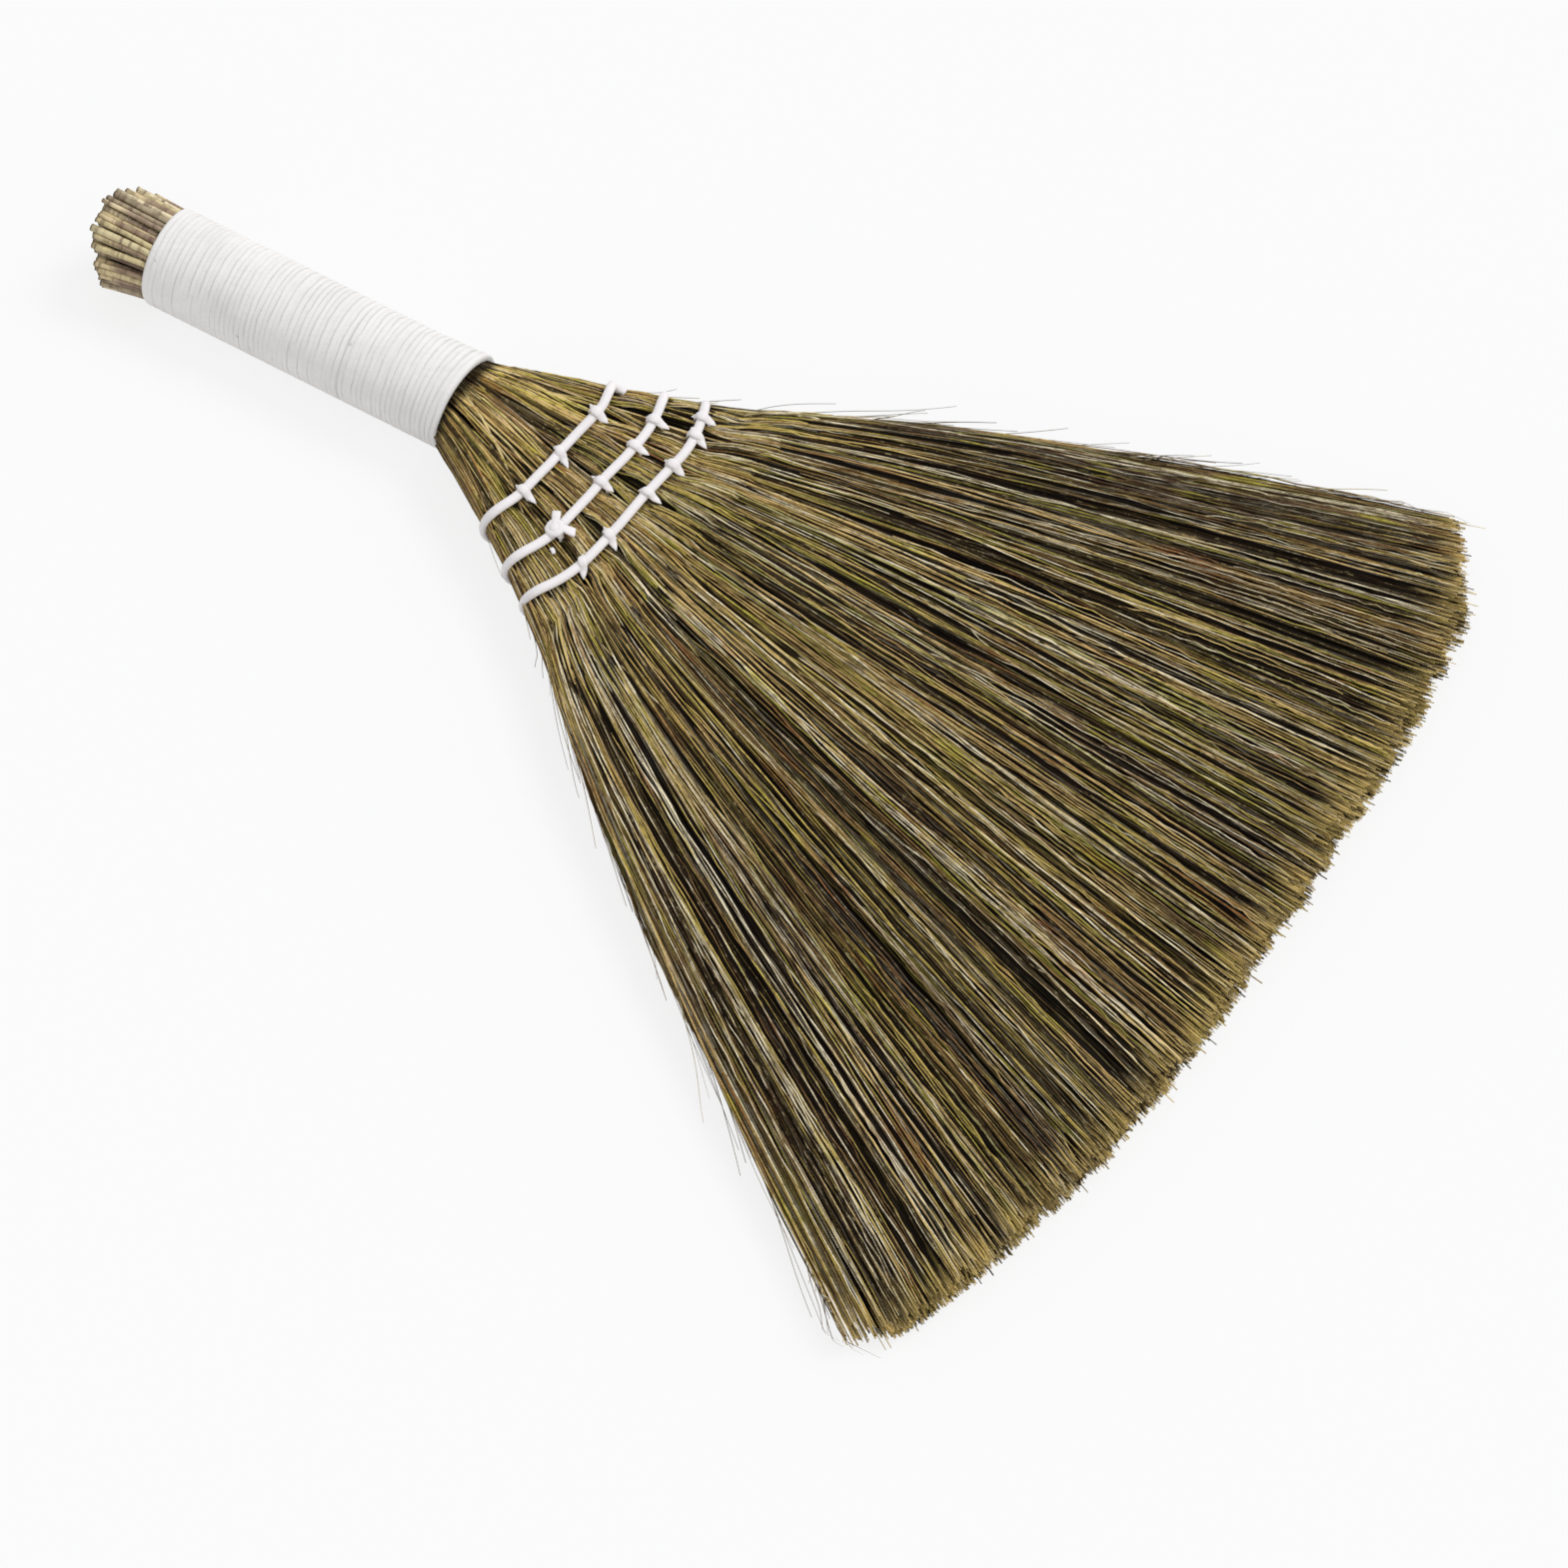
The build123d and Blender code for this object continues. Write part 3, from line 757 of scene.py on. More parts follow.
# Hairs at the open edges of the first and the last sheaf: how many, from and to which distance
# they start, how far they stand off and how long they are
Hairs = namedtuple("Hairs", "count start reach longest")
EDGE_HAIRS = {
    0: (Hairs(45, (20, 230), 4.5, 95), Hairs(14, (285, 312), 5.0, 30)),
    SHEAVES - 1: (Hairs(60, (20, 230), 4.5, 95), Hairs(30, (170, 250), 3.0, 70)),
}
# Corners and rings of the straws that are copied
UNIT_SHAPES = {"thin": (3, 11), "fine": (3, 30), "short": (3, 7), "coarse": (6, 11)}

CLUMPS = 8
SPARE_CLUMPS = 4
CLUMP_SWAYS = ((0.35, 41, 2.1), (0.25, 97, 1.0))
PLACE_SPREAD_SHARE = 0.004
TIP_SPREAD_SHARE = 0.008
CELL_SPREAD_SHARE = 0.006
STEM_CELL_SPREAD_SHARE = 0.03
# The lower corner is thin: most of its straws lie a little further in
CORNER_SHARE = -0.89
CORNER_DRAWN_SHARE = 0.35
CORNER_LEFT_SHARE = 0.14
# Straws come up over this length, and those that end in the fan dive over the other one
EMERGE = 42.0
DIVE, DIVE_SHARE = 26.0, 0.45
# Straws that are much shorter or a little longer than the rest: how many, and by how much
SHORT_CHANCE, SHORT_BY = 0.06, (0.01, 0.05)
LONG_CHANCE, LONG_CHANCE_ACROSS, LONG_BY = 0.035, 0.03, (0, 0.011)
# Widths as shares, at distances from the neck and at shares of a straw's or stem's own length
GROWN_AT, GROWN = (0, 60, 140, 330), (0.8, 0.75, 1.0, 0.92)
TAPER_AT, TAPER = (0, 0.08, 0.95, 1), (0.35, 1, 0.95, 0.6)
STEM_TAPER_AT, STEM_TAPER = (0, 0.3, 0.6, 1), (1, 0.78, 0.5, 0.2)
# How straws wave, kink, sway with their clump and roughen the skin
WAVE_SHARE = 0.9
KINK_SHARE = 0.22
SWAY = 1.2
SKIN_ROUGHNESS = 0.16
# Straws above this level part at the stitches, and clumps grow this much wider to the tips
SKIN_LEVEL = 0.7
CLUMP_SPREAD = 3.2
# No straw has the darkest painted shade near the open edges, and the change to that is this wide
EDGE_MIX = 0.06
GROOVE = 3.2
LIFT = 0.7
HEADROOM = 2.2
EDGE_HAIR_SHARE = 0.97
STEM_START = -8.0
STEM_ENDS = (95, 230)
STEM_DRIFT, STEM_CROSSING = 0.03, 0.17
STEM_SETTLED = 55
STEM_EDGE_SHARE, STEM_SKIN_SHARE = 0.975, 0.98
STEM_ROUGHNESS = 0.3
HAIR_LENGTHS, HAIR_BENDS, HAIR_RISES = (0.25, 1.0), (0.9, 2.2), (-3, 4)
HAIR_WIDTHS = (0.25, 0.5)
HAIR_LEAST_OFF = 0.6
HAIR_SWAY = 0.8


class Sheaf:
    """One sheaf of the broom while it is laid: its range across the head and its clumps."""

    def __init__(self, number, sizes):
        self.low, self.high = 2 * number / SHEAVES - 1, 2 * (number + 1) / SHEAVES - 1
        self.rng = np.random.default_rng(SHEAF_SEED + number)
        self.sizes = sizes
        # Five habits of each clump, on the top, the underside and inside
        self.habits = self.rng.normal(size=(5, 3, CLUMPS + SPARE_CLUMPS))

    def laid(self, unit, u, layer, spread, points, wide, flat, way):
        """Copies of a straw along points, each with a strip of the sheaf's map for its layer."""
        share = (u - self.low) / (self.high - self.low) + spread * self.rng.normal(size=len(u))
        strip = np.floor(np.clip(share, 0, LAST_SHARE) * CELLS / LAYERS) * LAYERS + layer
        return unit.laid(placed(*points), wide, flat, strip / CELLS, CELL_SHARE / CELLS, way,
                         self.rng.uniform(0, 2 * pi, len(u)))

    def straws(self, unit, kind, level, start, width, end=None):
        """Lays straws of one kind. level is 1 at the top skin and -1 at the underside.

        With an end they dive into the fan there, and else they run to the tips."""
        rng, wave, count = self.rng, self.sizes.waviness / MM, len(level)
        u = blend(self.low, self.high, rng.permutation((np.arange(count) + rng.random(count))
                                                       / max(count, 1)))
        u = np.clip(u + rng.normal(0, PLACE_SPREAD_SHARE, count), -OUTERMOST_SHARE,
                    OUTERMOST_SHARE)
        side = np.where(level > 0.5, 0, np.where(level < -0.5, 1, 2))
        clump_at = (u - self.low) / (self.high - self.low) * CLUMPS + side * 0.37
        clump_at += sum(reach * np.sin(pace * u + shift * side)
                        for reach, pace, shift in CLUMP_SWAYS)
        clump = np.floor(clump_at).astype(int)
        off = (clump_at - clump - 0.5)[:, None]
        lift, sway, turn, longer, hold = self.habits[:, side, clump % (CLUMPS + SPARE_CLUMPS)]
        pull = kind.pull * (1 + 0.5 * np.tanh(hold))[:, None]

        # Where each tip lies: a few are much shorter than the rest, and a few longer
        ragged = self.sizes.tip_raggedness * (0.95 + 0.35 * u)
        shorter = np.abs(rng.normal(0, ragged)) + 0.9 * ragged * (1 - np.tanh(longer)) / 2
        shorter += np.where(rng.random(count) < SHORT_CHANCE, rng.uniform(*SHORT_BY, count), 0)
        shorter -= np.where(rng.random(count) < LONG_CHANCE + LONG_CHANCE_ACROSS * u,
                            rng.uniform(*LONG_BY, count), 0)
        drawn = (u < CORNER_SHARE) & (rng.random(count) > CORNER_LEFT_SHARE)
        tip_u = np.where(drawn, CORNER_SHARE + CORNER_DRAWN_SHARE * (u - CORNER_SHARE), u)
        tips = tip_place(np.clip(tip_u + rng.normal(0, TIP_SPREAD_SHARE, count), -1, 1),
                         1 - shorter)
        stop = tips[0] if end is None else end
        tips = tuple(tip[:, None] for tip in tips)

        # Straws come up to the skin, and dive again where they have an end
        steps = unit.steps()
        along = start[:, None] + (stop - start)[:, None] * steps ** 1.1
        emerge = np.clip((along - start[:, None]) / EMERGE, 0, 1)
        inner = np.where(start[:, None] < 0, 1, 0.5 + 0.5 * emerge * (2 - emerge))
        if end is not None:
            diving = np.clip((along - end[:, None] + DIVE) / DIVE, 0, 1)
            inner = inner * (1 - DIVE_SHARE * diving ** 2)
        across, up, share = head_points(u[:, None], level[:, None] * inner, along, tips)

        # They wave and kink, part at the stitches and gather in clumps
        free, loose = np.sin(pi * share ** 0.7), np.clip(share * 2.5, 0, 1)
        phase, pitch = rng.uniform(0, 2 * pi, (2, count, 1))
        kinks = rng.normal(0, KINK_SHARE, (count, unit.rings + 1)) * (0.22 + 0.78 * loose)
        waves = np.sin(phase + share * (5 + pitch)) * WAVE_SHARE * free
        across = across + wave * (waves + kinks)
        across += sway[:, None] * SWAY * free * np.cos(3 * share + turn[:, None])
        across += row_parting(along, u[:, None]) * (np.abs(level[:, None]) > SKIN_LEVEL)
        spread = half_width(BINDING_END) / SHEAVES / CLUMPS * blend(1, CLUMP_SPREAD, share)
        across -= 2 * off * spread * pull * np.clip(share * 4, 0, 1)
        if kind.stray:
            strays = rng.normal(0, kind.stray, (count, 1))
            across += strays * np.sin(pi * emerge / 2) * (share + 0.15)
        groove = -GROOVE * (2 * np.abs(off)) ** 3 * loose * pull
        crest = (kind.rise * rng.uniform(0.2, 1.0, count))[:, None] * emerge
        crest = crest * (0.35 + 0.65 * loose)
        lifted = LIFT * lift[:, None] * loose * pull
        up = up + np.sign(level)[:, None] * (groove + lifted + crest)
        up = up + rng.normal(0, SKIN_ROUGHNESS, up.shape) * loose
        grown = np.interp(along, GROWN_AT, GROWN)
        wide = width[:, None] * grown * np.interp(steps, TAPER_AT, TAPER)
        top = centre_height(along) + blend(half_height(along), TIP_MIDDLE, share) + HEADROOM
        up = np.clip(up, wide / 2 + FLOOR_FIT, top)
        way = WAY_START + WAY_LENGTH * np.clip(along / tips[0], 0, 1)
        # No straw is given the inside's painted shade where it shows at the sides
        layer = np.where(np.abs(u) > EDGE_HAIR_SHARE - EDGE_MIX * rng.random(count),
                         np.minimum(kind.layer, rng.integers(0, 2, count)), kind.layer)
        return self.laid(unit, u, layer, CELL_SPREAD_SHARE, (along, across, up), wide, 0.85, way)

    def edge_points(self, u, high, along, tips_u):
        """Points of stems and hairs, with the way along the map at each."""
        tips = [tip[:, None] for tip in tip_place(tips_u, 1.0 + 0 * tips_u)]
        across, up, _ = head_points(u, high, along, tips)
        return across, up, np.clip(WAY_START + STEM_WAY * along / tips[0], WAY_START, STEM_WAY)

    def stems(self, unit, kind, level, width):
        """Lays stems that leave the neck and thin out into the fan."""
        rng, count = self.rng, len(level)
        u = rng.uniform(self.low, self.high, count)
        end = rng.uniform(*STEM_ENDS, count)
        steps = unit.steps()
        along = STEM_START + (end - STEM_START)[:, None] * steps ** 1.2
        drift = rng.normal(0, STEM_DRIFT, count) + np.where(
            rng.random(count) < kind.crossing, rng.normal(0, STEM_CROSSING, count), 0)
        drift = drift[:, None] * (np.clip(along / STEM_SETTLED, 0, 1) - 0.4)
        crossing_u = np.clip(u[:, None] + drift, -STEM_EDGE_SHARE, STEM_EDGE_SHARE)
        across, up, way = self.edge_points(crossing_u, level[:, None] * STEM_SKIN_SHARE, along,
                                           np.clip(u, -1, 1))
        across += rng.normal(0, STEM_ROUGHNESS, across.shape)
        wide = width[:, None] * np.interp(steps, STEM_TAPER_AT, STEM_TAPER)
        up -= np.sign(level)[:, None] * wide * 0.3
        up = np.maximum(up, wide / 2 + FLOOR_FIT)
        return self.laid(unit, u, kind.layer, STEM_CELL_SPREAD_SHARE, (along, across, up), wide,
                         0.9, way)

    def hairs(self, unit, kind):
        """Lays hairs that stand off the open edge of the first and the last sheaf."""
        rng, edge, count = self.rng, 1 if self.high > 0.99 else -1, kind.count
        start = rng.uniform(*kind.start, count)
        length = kind.longest * rng.uniform(*HAIR_LENGTHS, count) ** 1.3
        steps = unit.steps()
        along = start[:, None] + length[:, None] * steps
        u = edge * EDGE_HAIR_SHARE + 0 * start
        across, up, way = self.edge_points(edge * EDGE_HAIR_SHARE + 0 * along, 0 * along, along,
                                           edge + 0 * start)
        off = np.abs(rng.normal(0, kind.reach, count)) + HAIR_LEAST_OFF
        across += edge * off[:, None] * steps ** rng.uniform(*HAIR_BENDS, (count, 1))
        swaying = rng.normal(0, HAIR_SWAY, (count, 1))
        across += swaying * np.sin(steps * 7 + start[:, None]) * steps
        up += rng.uniform(*HAIR_RISES, count)[:, None] * (0.5 + steps)
        wide = rng.uniform(*HAIR_WIDTHS, count)[:, None] * (1 - 0.5 * steps)
        up = np.maximum(up, wide / 2 + FLOOR_FIT)
        return self.laid(unit, u, rng.integers(0, 2, count), STEM_CELL_SPREAD_SHARE,
                         (along, across, up), wide, 1.0, way)


def make_sheaf(number, sizes, material, units):
    """Lays all straws, stems and hairs of one sheaf, as one piece."""
    sheaf = Sheaf(number, sizes)
    rng, many = sheaf.rng, sizes.straws_in_sheaf
    straw_width, stem_width = sizes.straw_width / MM, sizes.stem_width / MM
    parts = []

    def add_straws(kind, level):
        count = len(level)
        parts.append(sheaf.straws(
            units[kind.unit], kind, level, rng.uniform(*kind.start, count),
            straw_width * rng.uniform(*kind.width, count),
            rng.uniform(*kind.end, count) if kind.end else None))

    for face, share in ((1, 1.0), (-1, UNDERSIDE_SHARE)):
        for kind in FACE_STRAWS:
            count = int(many * kind.number * share)
            add_straws(kind, face * (1 - kind.deep * rng.random(count)) * kind.level)
        for kind in FACE_STEMS:
            count = int(sizes.stems_in_sheaf * kind.number * share)
            level = face * (1 - STEM_DEEP * rng.random(count)) * kind.level
            parts.append(sheaf.stems(units["coarse"], kind, level,
                                     stem_width * rng.uniform(*kind.width, count)))
    inside = INNER_STRAWS.level
    add_straws(INNER_STRAWS, rng.uniform(-inside, inside, int(many * INNER_STRAWS.number)))
    for kind in EDGE_HAIRS.get(number, ()):
        parts.append(sheaf.hairs(units["fine"], kind))
    finished(bunch(f"straw_{number + 1}", parts, number), f"straw_sheaf_{number + 1}",
             material)


class BROOM_OT_straws(bpy.types.Operator):
    """Lays the fine straws and the stems of every sheaf from the neck to the tips"""
    bl_idname = "broom.straws"
    bl_label = "Straws"

    def execute(self, context):
        sizes = context.scene.broom_straw
        material = straw_finish(sizes)
        units = {name: unit_strand(*shape) for name, shape in UNIT_SHAPES.items()}
        for number in range(SHEAVES):
            make_sheaf(number, sizes, material, units)
        return {"FINISHED"}


# The stalks' cut ends: rings of them round the grip's axis, how far each stands out of the
# winding by its place across the grip, and how far they spread
STALK_RINGS = (1, 6, 13, 19, 26, 32, 38, 45)
STALK_PITCH = 2.28
STALK_WIDTH = 2.45
STALKS_ACROSS = 16.0
STALK_ROOT = 4.0
PROUD_AT = (-17, -14, -9, 0, 7.5, 8.5, 13, 17)
PROUD = (11, 17, 21.5, 23.5, 22, 18.5, 17, 14)
FLARE_AT, FLARES = (-17, 0, 17), (0.24, 0.06, 0.0)
FLARE_LEAST, FLARE_UP = 1.03, 1.07
STALK_TOP = 36.3
HIDDEN_RINGS = 6


class BROOM_OT_stalks(bpy.types.Operator):
    """Lays the stalks whose cut ends show at the butt of the grip"""
    bl_idname = "broom.stalks"
    bl_label = "Stalk ends"

    def spots(self, rng):
        """Where the stalks cross the grip, and the ring of each."""
        spots = []
        for ring, count in enumerate(STALK_RINGS):
            for number in range(count):
                turn = 2 * pi * (number + 0.5 * (ring % 2)) / count + rng.normal(0, 0.02)
                out = ring * STALK_PITCH + rng.normal(0, 0.12)
                if ring < len(STALK_RINGS) - 1 or rng.random() > 0.12:
                    spots.append((out * cos(turn), out * sin(turn), ring))
        return np.array(spots)

    def execute(self, context):
        material = stalk_finish()
        unit = unit_strand(8, 5)
        rng = np.random.default_rng(STALK_SEED)
        spots = self.spots(rng)
        steps = unit.steps()
        strips = np.floor((spots[:, 0] + STALKS_ACROSS) / (2 * STALKS_ACROSS / SHEAVES))
        for number in range(SHEAVES):
            y, z, ring = spots[np.clip(strips, 0, SHEAVES - 1) == number].T
            count = len(y)
            proud = np.interp(y, PROUD_AT, PROUD) + (
                rng.uniform(-1.6, 0.8, count) - np.clip(6 - ring, 0, 3) * rng.random(count))
            x = STALK_ROOT - GRIP_LENGTH - (STALK_ROOT + proud)[:, None] * steps
            flare = FLARE_LEAST + np.interp(y, FLARE_AT, FLARES)[:, None] * steps ** 1.2
            flare = flare + 0.012 * rng.normal(size=(count, 1)) * steps
            lean = rng.normal(0, 0.35, (2, count, 1)) * steps
            width = STALK_WIDTH * rng.uniform(0.7, 1.15, (count, 1)) * np.ones_like(x)
            path = np.stack([NECK_X + x, NECK_Y + y[:, None] * flare + lean[0],
                             AXIS_HEIGHT + z[:, None] * np.minimum(flare, FLARE_UP) + lean[1]],
                            -1)
            path[..., 2] = np.clip(path[..., 2], width / 2 + 0.1, STALK_TOP - width / 2)
            # The inner rings take the odd strips, which the finish paints dark as shade inside the
            # bundle
            cell = (2 * np.arange(count) + (ring < HIDDEN_RINGS)) / STALK_CELLS
            way = WAY_START + WAY_LENGTH * steps * np.ones((count, 1))
            part = unit.laid(path * MM, width, 1.0, cell % 1, CELL_SHARE / STALK_CELLS, way,
                             rng.uniform(0, 2 * pi, count))
            finished(bunch(f"stalk_ends_{number + 1}", [part], number),
                     f"stalks_{number + 1}", material)
        return {"FINISHED"}


def tube(points, widths, flats, sides=10, closed=False, ups=None, square=1.0):
    """A cord along points, in millimetres, with its width and flatness at each of them."""
    points = np.asarray(points, float)
    count = len(points)
    widths = np.broadcast_to(np.asarray(widths, float), (count,))
    flats = np.broadcast_to(np.asarray(flats, float), (count,))
    if closed:
        way = np.roll(points, -1, 0) - np.roll(points, 1, 0)
    else:
        way = np.gradient(points, axis=0)
    way /= np.linalg.norm(way, axis=1, keepdims=True)
    ups = np.array([(0, 0, 1.0)]) if ups is None else np.asarray(ups, float)
    side = np.cross(way, np.broadcast_to(ups, way.shape))
    side /= np.linalg.norm(side, axis=1, keepdims=True)
    up = np.cross(side, way)
    angle = 2 * pi * np.arange(sides) / sides
    wide = np.sign(np.cos(angle)) * np.abs(np.cos(angle)) ** square
    high = np.sign(np.sin(angle)) * np.abs(np.sin(angle)) ** square
    ring = side[:, None] * wide[None, :, None] * widths[:, None, None] / 2 \
        + up[:, None] * high[None, :, None] * (widths * flats)[:, None, None] / 2
    corners = (points[:, None] + ring).reshape(-1, 3) * MM
    lengths = np.r_[0, np.cumsum(np.linalg.norm(np.diff(points, axis=0), axis=1))]
    faces, places = [], []
    spans = count if closed else count - 1
    total = lengths[-1] + (np.linalg.norm(points[0] - points[-1]) if closed else 0)
    for i in range(spans):
        j = (i + 1) % count
        a, b = lengths[i], lengths[j] if j else total
        for k in range(sides):
            m = (k + 1) % sides
            faces.append((i * sides + k, i * sides + m, j * sides + m, j * sides + k))
            places += [(k / sides, a), ((k + 1) / sides, a), ((k + 1) / sides, b), (k / sides, b)]
    if not closed:
        for i, order in ((0, -1), (count - 1, 1)):
            faces.append(tuple(i * sides + k for k in range(sides))[::order])
            places += [((0.5 + 0.4 * cos(angle[k])), lengths[i] + sin(angle[k]))
                       for k in range(sides)][::order]
    return corners, faces, places


def cord_piece(name, tubes):
    """One piece from tubes of cord, mapped round and along in millimetres."""
    corners, faces, places, base = [], [], [], 0
    for tube_corners, tube_faces, tube_places in tubes:
        corners += [tuple(c) for c in tube_corners]
        faces += [tuple(v + base for v in face) for face in tube_faces]
        places += tube_places
        base += len(tube_corners)
    mesh = bpy.data.meshes.new(name)
    mesh.from_pydata(corners, [], faces)
    mapped(mesh, "Lay", places)
    piece = new_piece(name, mesh)
    bpy.ops.object.select_all(action="DESELECT")
    piece.select_set(True)
    bpy.context.view_layer.objects.active = piece
    face_outward()
    bpy.ops.object.shade_smooth()
    return piece


def unevenness(rng, places, spacing, amount):
    """A smooth random amount at each place, the same at the first and the last one."""
    knots = np.arange(places[0], places[-1] + 1.5 * spacing, spacing)
    values = rng.normal(0, amount, len(knots))
    values[-2:] = values[0]
    return np.interp(places, knots, values)


class BROOM_OT_winding(bpy.types.Operator):
    """Winds the grip's cord from the butt to the neck"""
    bl_idname = "broom.winding"
    bl_label = "Grip winding"

    def execute(self, context):
        sizes = context.scene.broom_cord
        turns = sizes.winding_turns
        wound = GRIP_LENGTH - 2 * WINDING_END_GAP
        pitch = wound / turns
        rng = np.random.default_rng(WINDING_SEED)
        turn = np.arange(turns * WINDING_STEPS + 1) / WINDING_STEPS
        jitter = sum(unevenness(rng, turn, *each) for each in WINDING_UNEVEN)
        dip = np.abs(unevenness(rng, turn, *WINDING_DIPS))
        tuck = np.minimum(np.minimum(turn, turns - turn) * 10, 1)
        angle = 2 * pi * turn + pi
        x = -GRIP_LENGTH + WINDING_END_GAP + pitch / 2 + (wound - pitch) * turn / turns + jitter
        # The last turns lie square to the head, and widen with it
        lean = np.clip((x + LEAN_LENGTH) / LEAN_LENGTH, 0, 1) ** 1.5 * (1 - np.sin(angle)) / 2
        x = x + LEAN * lean
        out = WINDING_RADIUS - WINDING_THICKNESS / 2 - 0.1 - dip - WINDING_THICKNESS * (1 - tuck)
        out = out + LEAN_OUT * lean * np.sin(angle) ** 2
        points = np.stack([NECK_X + x, NECK_Y - out * np.sin(angle),
                           AXIS_HEIGHT + out * np.cos(angle)], -1)
        ups = np.stack([0 * x, -np.sin(angle), np.cos(angle)], -1)
        flatness = WINDING_THICKNESS / pitch / WINDING_SQUEEZE
        piece = cord_piece("winding", [tube(points, pitch * WINDING_OVERLAP, flatness,
                                            WINDING_SIDES, ups=ups, square=WINDING_SQUARENESS)])
        # What would lie below the floor is pressed flat on it
        for corner in piece.data.vertices:
            corner.co.z = max(corner.co.z, 0)
        finished(piece, "grip_winding",
                 cord_finish("winding_cord", tuple(sizes.winding_white), 0.84, doubled=True))
        return {"FINISHED"}


def row_path(row):
    """The closed way of a row cord round the head: along, across and up, and how far out."""
    edge = row_edge(row)
    high = half_height(ROW_DISTANCES[row]) + CORD_FIT + ROW_CORD_RADIUS
    flat = edge - ROW_ROUNDNESS * high
    top = np.linspace(-flat, flat, ROW_TOP_STEPS)
    turn = np.linspace(0, pi, ROW_TURN_STEPS)[1:-1]
    round_out = flat + (edge - flat) * np.sin(turn)
    outs = np.concatenate([top, round_out, top[::-1], -round_out])
    faces = np.concatenate([0 * top + 1, np.cos(turn), 0 * top - 1, -np.cos(turn)])
    along = row_line(row, outs)
    up = centre_height(along) + faces * (half_height(along) + CORD_FIT + ROW_CORD_RADIUS)
    return along, HEAD_SWAY + outs, up, outs


class BROOM_OT_row_cords(bpy.types.Operator):
    """Lays the three rows of cord round the bound head"""
    bl_idname = "broom.row_cords"
    bl_label = "Row cords"

    def execute(self, context):
        sizes = context.scene.broom_cord
        material = cord_finish("row_cord", tuple(sizes.row_white), 0.88)
        for row in range(len(ROW_DISTANCES)):
            along, across, up, outs = row_path(row)
            rng = np.random.default_rng(ROW_SEED + row)
            along = along + unevenness(rng, np.arange(len(along)), *ROW_UNEVEN)
            # The cord is drawn in and thins where it turns round the edges
            past = np.abs(outs) - row_edge(row)
            turning = np.clip((past + ROW_TURN) / ROW_TURN, 0, 1)
            across = across - ROW_DRAWN * np.sign(outs) * turning ** 2
            points = placed(along, across, up) / MM
            middle = placed(along, HEAD_SWAY + 0 * across, centre_height(along)) / MM
            away = (points - middle) * (0.02, 0.02, 1)
            outward = np.clip(past + ROW_FACING, 0, ROW_FACING) * np.sign(outs)
            away += (placed(0, outward, 0) - placed(0, 0 * outward, 0)) / MM
            width = sizes.row_cord_width / MM * (1 - ROW_THINNED * turning ** 2)
            tubes = [tube(points, width, ROW_FLATNESS, sides=12, closed=True, ups=away)]
            if row == 0:
                tubes.append(free_end(CUT_END, CUT_END_WIDTHS))
            piece = cord_piece(f"row_cord_{row + 1}_dressed", tubes)
            finished(piece, f"row_cord_{row + 1}", material)
        return {"FINISHED"}


def free_end(points, widths):
    """An end of cord that lies free, along points of the head."""
    way = placed(*smoothed_way(points, 4).T) / MM
    return tube(way, resampled(widths, 4), FREE_END_FLATNESS)


class StitchSite:
    """Where a stitch crosses its row, how it leans and how high it stands."""

    def __init__(self, row, index):
        out = half_width(ROW_DISTANCES[row]) * STITCH_PLACES[row][index] / SHEAVES
        self.along, self.across = float(row_line(row, out)), HEAD_SWAY + out
        self.lean = atan2(float(row_line(row, out - 0.5) - row_line(row, out + 0.5)), 1.0)
        self.base = centre_height(self.along)
        self.high = half_height(self.along) + CORD_FIT
        self.crest = self.high + 2 * ROW_CORD_RADIUS

    def cord(self, points, widths, flat, face=1, fine=4, **shape):
        """Cord along points from the stitch: past its row, across it, and from the middle up."""
        ahead, aside, up = smoothed_way(points, fine).T
        if shape.get("closed"):
            ahead, aside, up = ahead[:-1], aside[:-1], up[:-1]
        along = self.along + ahead * cos(self.lean) - aside * sin(self.lean)
        across = self.across + ahead * sin(self.lean) + aside * cos(self.lean)
        way = placed(along, across, self.base + face * up - SINK_SLOPE * ahead) / MM
        widths = resampled(widths, fine) if np.ndim(widths) else widths
        return tube(way, widths, flat, **shape)


def stitch_tubes(site, width, rng):
    """The cord of a stitch: a band over the row cord, a small ear behind it and a point ahead."""
    high, crest = site.high, site.crest
    tubes = []
    for face in (1, -1):
        skew = rng.normal(0, 0.35)
        big = rng.uniform(0.88, 1.1)
        tubes.append(site.cord(
            [(-2.7, -skew, high - 4), (-2.6, -skew, high + 0.6), (-2.2, -0.8 * skew, high + 2.2),
             (-1.2, -0.4 * skew, crest + 0.1), (0, 0, crest + 0.4), (1.2, 0.4 * skew, crest + 0.1),
             (2.3, 0.8 * skew, high + 2.1), (2.8, skew, high + 0.6), (3.0, skew, high - 4)],
            np.array((1.7, 2.0, 2.5, 3.0, width, 3.3, 3.0, 2.4, 1.8)) * big, 0.38, face))
        if face < 0:
            continue
        bend, far = rng.normal(0, 0.6), rng.uniform(5.0, 6.4)
        tubes.append(site.cord(
            [(0.4, 0, crest), (1.9, 0.2 * bend, high + 2.5), (2.9, 0.4 * bend, high + 1.5),
             (0.5 * far + 1.6, 0.7 * bend, high + 0.9), (far, bend, high + 0.2)],
            np.array((2.6, 3.4, 3.0, 1.9, 0.3)) * big, 0.42))
        bend, far = 0.6 + rng.normal(0, 0.6), rng.uniform(3.2, 4.4)
        tubes.append(site.cord(
            [(-0.5, 0.3 * bend, crest), (-1.8, 0.6 * bend, high + 2.8),
             (-2.6, 0.8 * bend, high + 2.0), (-far, 1.3 * bend, high + 1.4)],
            np.array((2.0, 2.3, 1.6, 0.4)) * big, 0.5))
    return tubes


